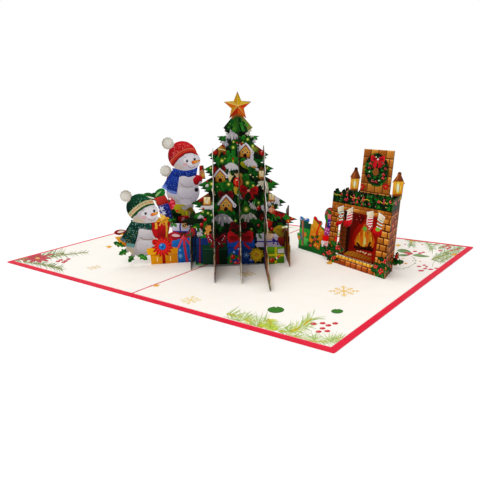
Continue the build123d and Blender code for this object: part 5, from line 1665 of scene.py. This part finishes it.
def near_corner(pen):
    """Corner nearest to the viewer: snowflakes, two green discs, a gold piece, sprays and berries."""
    flake(pen, 262, 190, 56, "f0cc80")
    flake(pen, 806, 286, 92, "fad47c")
    for x, y, w, h in ((425, 391, 47, 18), (768, 399, 34, 13)):
        pen.oval(x, y, w, h, "2f6424", n=28)
        pen.oval(x, y - h * 0.08, w * 0.95, h * 0.9, "4c8a38", n=28)
        pen.poly([(x - w * 0.14, y - h), (x + w * 0.12, y - h), (x + w * 0.02, y - h * 0.62)], "f6f2e6")
    pen.poly([(705, 126), (725, 118), (745, 124), (738, 136), (715, 136)], "e8b048")
    for pts, r, n in (([(150, 412), (250, 440), (330, 482)], 62, 34),
                      ([(330, 470), (370, 450), (400, 500)], 60, 24),
                      ([(440, 510), (520, 510), (580, 478), (625, 440)], 70, 40),
                      ([(480, 530), (560, 545), (640, 560)], 50, 24),
                      ([(590, 560), (690, 572), (790, 560)], 52, 34),
                      ([(640, 575), (720, 560), (800, 545)], 40, 22),
                      ([(230, 430), (300, 450), (420, 505)], 50, 26)):
        spray(pen, pts, r, n, PALE_NEEDLES, "c8c040")
    for pts in ([(380, 440), (398, 470), (410, 505)], [(500, 515), (560, 490), (610, 452)],
                [(250, 445), (320, 475), (350, 490)]):
        spray(pen, pts, 44, 22, ("d2dc48", "bcd042", "a4c03e", "e2e068"), "d0a838")
    for x, y, r, a0, a1, n, inks in ((230, 455, 120, 200, 320, 18, PALE_NEEDLES),
                                     (320, 480, 130, 195, 300, 20, PALE_NEEDLES),
                                     (400, 505, 100, 205, 330, 26, ("ccdc5a", "b6cc4c", "dce486", "9cbc48")),
                                     (500, 515, 110, 200, 290, 18, PALE_NEEDLES),
                                     (560, 500, 120, 270, 345, 18, PALE_NEEDLES),
                                     (640, 560, 110, 190, 300, 18, PALE_NEEDLES),
                                     (730, 570, 110, 210, 340, 20, PALE_NEEDLES)):
        for _ in range(n):
            a, q = radians(pen.r.uniform(a0, a1)), r * pen.r.uniform(0.5, 1.0)
            pen.line([(x, y), (x + q * 0.5 * cos(a), y + q * 0.32 * sin(a)),
                      (x + q * cos(a), y + q * 0.7 * sin(a))], 5.5, pen.r.choice(inks), taper=True)
    for x, y in ((636, 469), (687, 466), (757, 467), (719, 478), (686, 495), (665, 513), (713, 510)):
        pen.oval(x, y, 17, 7, "c8303c", n=14)
        pen.oval(x, y - 1, 15, 6, "de4450", n=14)
        pen.oval(x - 5, y - 3, 4, 2, "f4b4b4", n=6)


def right_corner(pen):
    """Corner at the right, beside the fireplace: sprays, leaves, berries and gold pieces."""
    for pts, r, n in (([(845, 95), (850, 130), (850, 165)], 60, 30),
                      ([(1000, 110), (1030, 150), (1070, 205)], 64, 34),
                      ([(780, 100), (900, 118), (1000, 124)], 40, 24),
                      ([(1060, 310), (1180, 270), (1340, 215)], 90, 50),
                      ([(1150, 330), (1240, 280), (1330, 240)], 60, 30),
                      ([(1130, 190), (1240, 165), (1400, 160)], 60, 34),
                      ([(1220, 135), (1320, 150), (1420, 165)], 40, 24),
                      ([(1180, 240), (1280, 215), (1380, 185)], 60, 30),
                      ([(1080, 160), (1130, 140), (1200, 130)], 44, 20)):
        spray(pen, pts, r, n, ("b8c9a0", "93ad72", "d0dabc", "7c9a60", "e0e6d0"), "b0a850")
    for pts in ([(700, 215), (740, 198), (800, 205), (850, 232), (820, 240), (760, 238)],
                [(700, 262), (760, 252), (830, 262), (780, 275), (730, 272)],
                [(860, 262), (920, 250), (980, 262), (1045, 276), (980, 284), (900, 276)]):
        pen.blob(pts, "86a868", "6f9454", pts[0], pts[3], n=3)
        pen.line([pts[0], pts[3]], 3, "b8cc9c")
    for x, y, w, h in ((800, 238, 26, 10), (840, 246, 28, 11), (822, 256, 22, 8), (888, 224, 24, 8),
                       (940, 242, 22, 8), (975, 233, 20, 7), (1190, 178, 18, 7), (1225, 165, 22, 8),
                       (1252, 180, 18, 8), (1232, 195, 20, 7), (1152, 216, 24, 7), (1272, 212, 20, 6),
                       (1330, 200, 20, 7), (930, 380, 24, 8), (985, 368, 20, 7), (1010, 384, 16, 8),
                       (992, 404, 22, 8), (952, 425, 34, 9), (1052, 411, 30, 8), (1112, 400, 24, 7),
                       (785, 150, 10, 5), (965, 152, 12, 4), (1092, 155, 12, 4)):
        pen.oval(x, y, w, h, "c8505c", n=12)
        pen.oval(x, y - h * 0.1, w * 0.9, h * 0.85, "dc6470", n=12)
    for pts in ([(850, 275), (885, 300), (893, 325), (880, 352), (835, 385), (755, 405)],
                [(1130, 305), (1085, 335), (1070, 362), (1078, 388)]):
        pen.line(pts, 4, "8fae7c")
    for x, y in ((880, 295), (900, 318), (868, 320), (893, 350), (828, 386)):
        pen.oval(x, y, 9, 3.5, "7a9c66", n=8)
    for x, y, w, ink in ((712, 160, 34, "ecc850"), (765, 298, 14, "f0bc78"), (940, 328, 18, "f0c088"),
                         (790, 350, 24, "f0b468"), (1300, 256, 34, "f0ae38"), (850, 122, 22, "ecc04a")):
        pen.poly([(x - w, y), (x - w * 0.4, y - w * 0.2), (x, y - w * 0.42), (x + w * 0.35, y - w * 0.2),
                  (x + w, y - w * 0.05), (x + w * 0.5, y + w * 0.2), (x + w * 0.1, y + w * 0.42),
                  (x - w * 0.4, y + w * 0.2)], ink)


def far_edge(pen):
    """Farther edge, behind the tree: sprays, berries and six-armed snowflakes."""
    for x0, y0, x1, y1 in ((-140, -94, -92, -90), (-142, -88, -138, -52), (-60, -98, -14, -90),
                           (20, -97, 66, -92)):
        spray(pen, [(x0, y0), ((x0 + x1) / 2, (y0 + y1) / 2 + 3), (x1, y1)], 11, 40, PALE_NEEDLES)
    for x, y in ((-120, -84), (-116, -80), (-124, -79), (-34, -86), (-29, -83), (44, -85), (49, -88),
                 (52, -82)):
        pen.oval(x, y, 2.1, 2.1, "de4450", n=14)
    for x, y, r in ((-96, -66, 9), (-20, -62, 10), (60, -66, 8)):
        for k in range(6):
            put = turned(x, y, r, 60 * k + 12)
            pen.line(put([(0.0, 0.0), (0.98, 0.0)]), r * 0.085, "ecd090")
            for at, w in ((0.34, 0.26), (0.56, 0.28), (0.78, 0.17)):
                for m in (-1, 1):
                    pen.line(put([(at, 0.0), (at + w * 0.5, m * w * 0.87)]), r * 0.06, "ecd090")


def page_art(panel):
    """Print of both pages."""
    hearth_floor_and_shade(panel)
    left_corner(Pen(panel, *LEFT_CORNER, seed=61))
    near_corner(Pen(panel, *NEAR_CORNER, seed=62))
    right_corner(Pen(panel, *RIGHT_CORNER, seed=63))
    far_edge(own_pen(panel, 64))


def hang(pen, height, reach, seed):
    """Ornaments, lights and snow over a slice of fir whose tip is the pen's zero."""
    pick = random.Random(seed)
    highest, lowest, row, apart = 14.0, height - 24, 7.4, 7.5
    y, k = highest, 0
    while y < lowest:
        half = reach * (y + 4) / height
        count = max(2, int(half * 2 / apart))
        for i in range(count):
            x = half * (-1 + (2 * i + 1) / count) + pick.uniform(-1.4, 1.4)
            v = y + pick.uniform(-1.8, 1.8)
            k += 1
            kind = (k * 7 + i * 3) % 9
            if kind in (0, 4):
                snow(pen, x, v, 8.0, 4.4, pick.uniform(-20, 20), "d6d2d9", 5)
            elif kind == 1:
                ball(pen, x, v, 2.3, pick.choice(("d42a18", "c81a24", "d8902a")), "7c0a10")
            elif kind == 2:
                glow(pen, x, v, 1.1)
            elif kind == 3:
                bow(pen, x, v, 3.4, "cc1820", "7c0a10")
            elif kind == 5:
                house(pen, x, v + 3, 6.2)
            elif kind == 6:
                bough(pen, x, v, 4.6, 90)
            elif kind == 7:
                lantern(pen, x, v, 4.2)
            else:
                for m in (-1, 0, 1):
                    berry(pen, x + m * 1.1, v + abs(m) * 0.9, 0.8)
        y += row


BOX_INKS = (("c8281e", "7c0f10", "e8b840"), ("1c5cb4", "0c3474", "d02c38"), ("e0a020", "a86a0c", "c02018"),
            ("1c7434", "0c4018", "e0c040"), ("7a2a1c", "3e120c", "c89a50"), ("5a3a94", "2c1a5c", "e8e0f0"),
            ("dcd6e0", "a49cb0", "3c3494"))


def stack(pen, x0, x1, foot, shares, seed):
    """Row of boxes along the foot of a slice, each with a ribbon and a bow or a flower."""
    pick, tall, lid = random.Random(seed), 22.0, 4.6
    w = (x1 - x0) / len(shares)
    for i, share in enumerate(shares):
        a, top = x0 + w * i, foot - tall * share
        ink, dark, ribbon = BOX_INKS[(seed + 3 * i) % len(BOX_INKS)]
        box_print(pen, a, top, a + w + 0.2, foot + 4, lid, ink, dark, ribbon, pick.uniform(0.35, 0.65))
        for _ in range(5):
            burst(pen, a + w * pick.uniform(0.1, 0.9), foot - tall * share * pick.uniform(0.1, 0.7), 0.9,
                  0.35, 5, ribbon, 10)
        if (seed + i) % 3:
            bow(pen, a + w / 2, top + 2.5, min(w * 0.45, 5.2), ribbon, dark, pick.uniform(-12, 12))
        else:
            flower(pen, a + w / 2, foot - 8, min(w * 0.4, 5.0), "dcb828", "9a7c10", "b01c14", 8, 10)


def fir_slice(panel, seed):
    """Fir with its ornaments over a whole slice. Gives back the pen, whose zero is the tip."""
    pen = own_pen(panel, seed, 0.0, TIP)
    fir(pen, TIP, FIR_REACH, rows=17, first=0.02)
    hang(pen, TIP, FIR_REACH - 3, seed)
    return pen


def crossing_art(panel, reach, front, seed):
    """Print of a cross slice, with boxes behind the main face and in front of it."""
    pen = fir_slice(panel, seed)
    stack(pen, -40.2, 0.0, TIP, (0.75, 0.95, 1.0), seed)
    stack(pen, 0.0, reach, TIP, front, seed + 1)


def third_snowman(pen):
    """Snowman of the rear slice. The pen's zero is the middle of the head."""
    pen.oval(-3.9, 22.6, 14.4, 13.2, "f4f2f4", n=26)
    pen.oval(-3.9, 22.2, 12.6, 11.4, "fbfafb", "e6e2e6", (-8, 12), (0, 33), n=26)
    pen.oval(-1.0, 14.0, 8.4, 8.4, "ffffff", "ece8ec", (-4, 8), (2, 22), n=22)
    pen.poly([(-10.4, 5.4), (-19.2, 18.4), (-9.4, 25.4), (-3.4, 12.0)], "2a7a3c", "12481f", (-10, 6),
             (-12, 24))
    pen.poly([(-18.4, 17.2), (-9.8, 23.4), (-9.4, 25.4), (-19.2, 18.4)], "b0c8a0")
    pen.blob([(-10.6, 4.8), (0.0, 7.4), (8.4, 5.2), (7.2, 11.6), (-1.0, 13.4), (-8.6, 12.4)], "2f8642",
             "145022", (0, 5), (0, 13))
    for k in range(3):
        wool(pen,
             [((-9.6, 6.2 + 2 * k), (0.0, 8.8 + 1.6 * k), 9),
              ((0.2, 8.8 + 1.6 * k), (7.4, 7.0 + 1.8 * k), 7)], ("6ab070", "c8dcae", "0c3a18"), 0.5)
    pen.oval(0.0, 0.0, 10.6, 8.6, "c8c2cc", n=28)
    pen.oval(0.3, 0.0, 9.9, 7.9, "e2dfe5", "c4bec8", (2, -6), (-2, 8), n=28)
    face(pen, [(0.6, -1.0), (6.2, -1.8)],
         [[(-0.8, -3.4), (0.0, -3.9), (0.9, -3.9)], [(5.6, -4.2), (6.2, -4.6), (6.9, -4.4)]],
         [(1.6, 2.9), (3.0, 4.2), (5.2, 4.2), (6.6, 3.0)], (-1.6, 2.0),
         [(3.6, 0.4), (4.2, -0.8), (7.0, -1.1), (10.6, -0.6), (8.0, 1.0), (4.8, 1.8)], 0.95)
    pen.blob([(-11.6, -1.0), (-12.0, -6.4), (-9.0, -11.4), (-3.0, -13.8), (4.0, -12.4), (8.0, -7.8),
              (8.6, -3.6), (0.0, -6.0), (-6.0, -3.0)], "cc2028", "8c0e18", (0, -13), (-10, -2))
    wool(pen, [((-10.0, -6.0), (5.0, -8.6), 13), ((-8.6, -9.0), (4.0, -11.0), 11)],
         ("f08a80", "8a0c18", "f4b0a8"), 0.55)
    pen.line([(-11.4, -0.6), (-7.4, -4.2), (-1.6, -6.4), (4.2, -6.2), (9.0, -3.6)], 3.4, "e8e0d0")
    for i in range(9):
        burst(pen, -10.4 + 2.4 * i, -1.4 - 5.2 * sin(pi * (i + 0.6) / 9.4), 0.9, 0.45, 4,
              ("c23a24", "2a6a34")[i % 2], 20)
    bobble(pen, -11.8, -12.7, 4.3)
    pen.oval(-12.4, -13.2, 3.4, 3.2, "f4f0e4", n=16)


def rear_sweets(pen):
    """Sweets and leaves at the third snowman's foot, which show past the upper snowman."""
    pen.blob([(1130, 470), (1200, 430), (1330, 440), (1450, 400), (1520, 470), (1510, 610), (1300, 640),
              (1150, 610)], "16381a", "0a2410", (1300, 430), (1300, 640))
    each(leaf, pen, ((1200, 560, 130, 200), (1190, 520, 120, 150), (1440, 540, 130, 20),
                     (1420, 500, 120, -40)), "2c8030", "86b850", 0.42)
    pen.blob([(1225, 505), (1290, 478), (1390, 486), (1440, 540), (1400, 590), (1290, 600), (1235, 560)],
             "b81824", "720812", (1300, 480), (1340, 600))
    pen.blob([(1280, 515), (1325, 500), (1318, 545), (1285, 560)], "e8a0a4")
    pen.blob([(1330, 420), (1390, 360), (1440, 350), (1460, 420), (1400, 470)], "b09a30", "7a6010",
             (1400, 350), (1400, 470))


def rear_art(panel):
    """Print of the rear slice: fir, boxes, the third snowman and the sweets."""
    pen = fir_slice(panel, 71)
    stack(pen, -56.0, 40.0, TIP, (0.85, 1.0, 0.9, 1.05, 0.95, 1.05, 0.9, 0.8), 72)
    stack(pen, -47.0, -33.0, TIP, (1.55,), 77)
    third_snowman(own_pen(panel, 73, -39.6, 54.4))
    rear_sweets(Pen(panel, *LOWER_FIGURE, seed=74))


# The slices of the tree.
tree = facing(0.0)
tree_print(tree)
print_sheet("tree_face_print", tree, ["tree_face"])
middle = facing(SLICE_PITCH)
fir_slice(middle, 81)
snowmen(middle)
print_sheet("snowman_slice_print", middle, ["snowman_slice"], ink="3c5a38")
rear = facing(2 * SLICE_PITCH)
rear_art(rear)
print_sheet("rear_slice_print", rear, ["rear_slice"])
# Each cross slice, how far its boxes reach in front of the main face, and each one's share of full height.
CROSS_SLICES = (("far_left", 3.0, (0.5,)), ("left", 35.0, (0.9, 0.7, 0.5)),
                ("middle", 41.0, (0.95, 0.8, 0.6)), ("right", 58.0, (0.9, 0.8, 0.65, 0.5)),
                ("far_right", 10.0, (0.7,)))
for step, (name, reach, front) in enumerate(CROSS_SLICES, -2):
    slice_panel = crossing(step * SLICE_PITCH)
    crossing_art(slice_panel, reach, front, 90 + step)
    print_sheet(f"cross_slice_{name}_print", slice_panel, [f"cross_slice_{name}"])

# The fireplace and the row of gifts.
front, back, row = on_hearth(0.0), on_hearth(HEARTH_DEPTH), on_hearth(GIFTS_BACK)
run = hearth_back * HEARTH_DEPTH - hearth_dir * SIDE_SPLAY
side_normal = run.cross(hearth_up).normalized()
side = Panel(hearth + hearth_dir * HEARTH_WIDTH, run, side_normal.cross(run.normalized()))
hearth_front(front)
hearth_back_print(back)
hearth_side(side)
row_of_gifts(row)
# The fireplace sheets and the gift row stand in shade, and their gains brighten the print as painted light.
print_sheet("fireplace_front_print", front, ["fireplace_surround"], ink="143c1a", painted_light_gain=1.4)
print_sheet("fireplace_side_print", side, ["fireplace_surround"], ink="143c1a", painted_light_gain=1.4)
print_sheet("fireplace_back_print", back, ["fireplace_back"], ink="143c1a", painted_light_gain=1.3)
print_sheet("gift_row_print", row, ["gift_row"], ink="1f5a24", painted_light_gain=2.0)

# The pages.
page = Panel(Vector((0, 0, PAGE)), Vector((1, 0, 0)), Vector((0, 1, 0)))
page_art(page)
print_sheet("page_print", page, ["left_page", "right_page"], both=False, ink=None, half=0.0,
            gap=PAGE_INK_LIFT)

# The studio, in metres: how far the floor reaches, how low it lies, and where it fades into white.
FLOOR_REACH, FLOOR_DROP = 6.0, -0.0002
FADE_FROM, FADE_TO = 0.16, 0.34
WORLD_LIGHT = 0.56


def mixed(tree, factor, first, second, output):
    """Mixes two shaders by a factor into an output node."""
    mix = tree.nodes.new("ShaderNodeMixShader")
    for source, target in zip((factor, first.outputs[0], second.outputs[0]), mix.inputs):
        tree.links.new(source, target)
    tree.links.new(mix.outputs[0], tree.nodes[output].inputs["Surface"])


def studio_floor():
    """Pale floor, which the camera alone sees fade into plain white away from the card."""
    mesh = bpy.data.meshes.new("studio_floor")
    corners = [(x * FLOOR_REACH, y * FLOOR_REACH, FLOOR_DROP)
               for x, y in ((-1, -1), (1, -1), (1, 1), (-1, 1))]
    mesh.from_pydata(corners, [], [(0, 1, 2, 3)])
    floor = bpy.data.objects.new("studio_floor", mesh)
    bpy.context.scene.collection.objects.link(floor)
    m, tree, shader = new_material("studio_floor_white")
    shader.inputs["Roughness"].default_value = 0.9
    shader.inputs["Specular IOR Level"].default_value = 0.0
    shader.inputs["Base Color"].default_value = (0.97, 0.97, 0.97, 1)
    place = tree.nodes.new("ShaderNodeTexCoord")
    reach = tree.nodes.new("ShaderNodeVectorMath")
    reach.operation = "LENGTH"
    tree.links.new(place.outputs["Object"], reach.inputs[0])
    fade = ramp(tree, reach.outputs["Value"], FADE_FROM, FADE_TO, 0.0, 1.0)
    eye = tree.nodes.new("ShaderNodeLightPath")
    both = tree.nodes.new("ShaderNodeMath")
    both.operation = "MULTIPLY"
    tree.links.new(fade.outputs["Result"], both.inputs[0])
    tree.links.new(eye.outputs["Is Camera Ray"], both.inputs[1])
    white = tree.nodes.new("ShaderNodeEmission")
    white.inputs["Strength"].default_value = 1.0
    mixed(tree, both.outputs[0], shader, white, "Material Output")
    mesh.materials.append(m)


def studio_world():
    """Soft light from all sides, which the camera sees as plain white."""
    world = bpy.data.worlds.new("studio")
    bpy.context.scene.world = world
    world.use_nodes = True
    tree = world.node_tree
    sky, seen = tree.nodes["Background"], tree.nodes.new("ShaderNodeBackground")
    for node, strength in ((sky, WORLD_LIGHT), (seen, 1.0)):
        node.inputs["Color"].default_value = (1, 1, 1, 1)
        node.inputs["Strength"].default_value = strength
    path = tree.nodes.new("ShaderNodeLightPath")
    mixed(tree, path.outputs["Is Camera Ray"], sky, seen, "World Output")


def lamp(name, place, target, size, power):
    """Round area light that looks at its target, in metres and watts."""
    data = bpy.data.lights.new(name, "AREA")
    data.shape, data.size, data.energy = "DISK", size, power
    o = bpy.data.objects.new(name, data)
    o.location = place
    o.rotation_mode = "QUATERNION"
    o.rotation_quaternion = (Vector(target) - Vector(place)).to_track_quat("-Z", "Y")
    bpy.context.scene.collection.objects.link(o)


def photo_camera():
    """The camera of the photograph."""
    data = bpy.data.cameras.new("camera")
    data.sensor_width = SENSOR
    data.lens = FOCAL / SIDE * SENSOR
    data.shift_x = (SIDE / 2 - CX) / SIDE
    data.shift_y = (CY - SIDE / 2) / SIDE
    data.clip_start, data.clip_end = 0.01, 50.0
    cam = bpy.data.objects.new("camera", data)
    bpy.context.scene.collection.objects.link(cam)
    turn = Matrix((across, upwards, -ahead)).transposed().to_4x4()
    cam.matrix_world = Matrix.Translation(EYE / 1000) @ turn
    bpy.context.scene.camera = cam


studio_floor()
studio_world()
lamp("key_light", place=(0.55, -1.1, 1.25), target=(0.02, 0.0, 0.05), size=1.0, power=11.5)
lamp("top_light", place=(-0.2, 0.1, 1.5), target=(0.0, 0.0, 0.0), size=1.2, power=8.6)
photo_camera()
bpy.context.scene.view_settings.view_transform = "Standard"
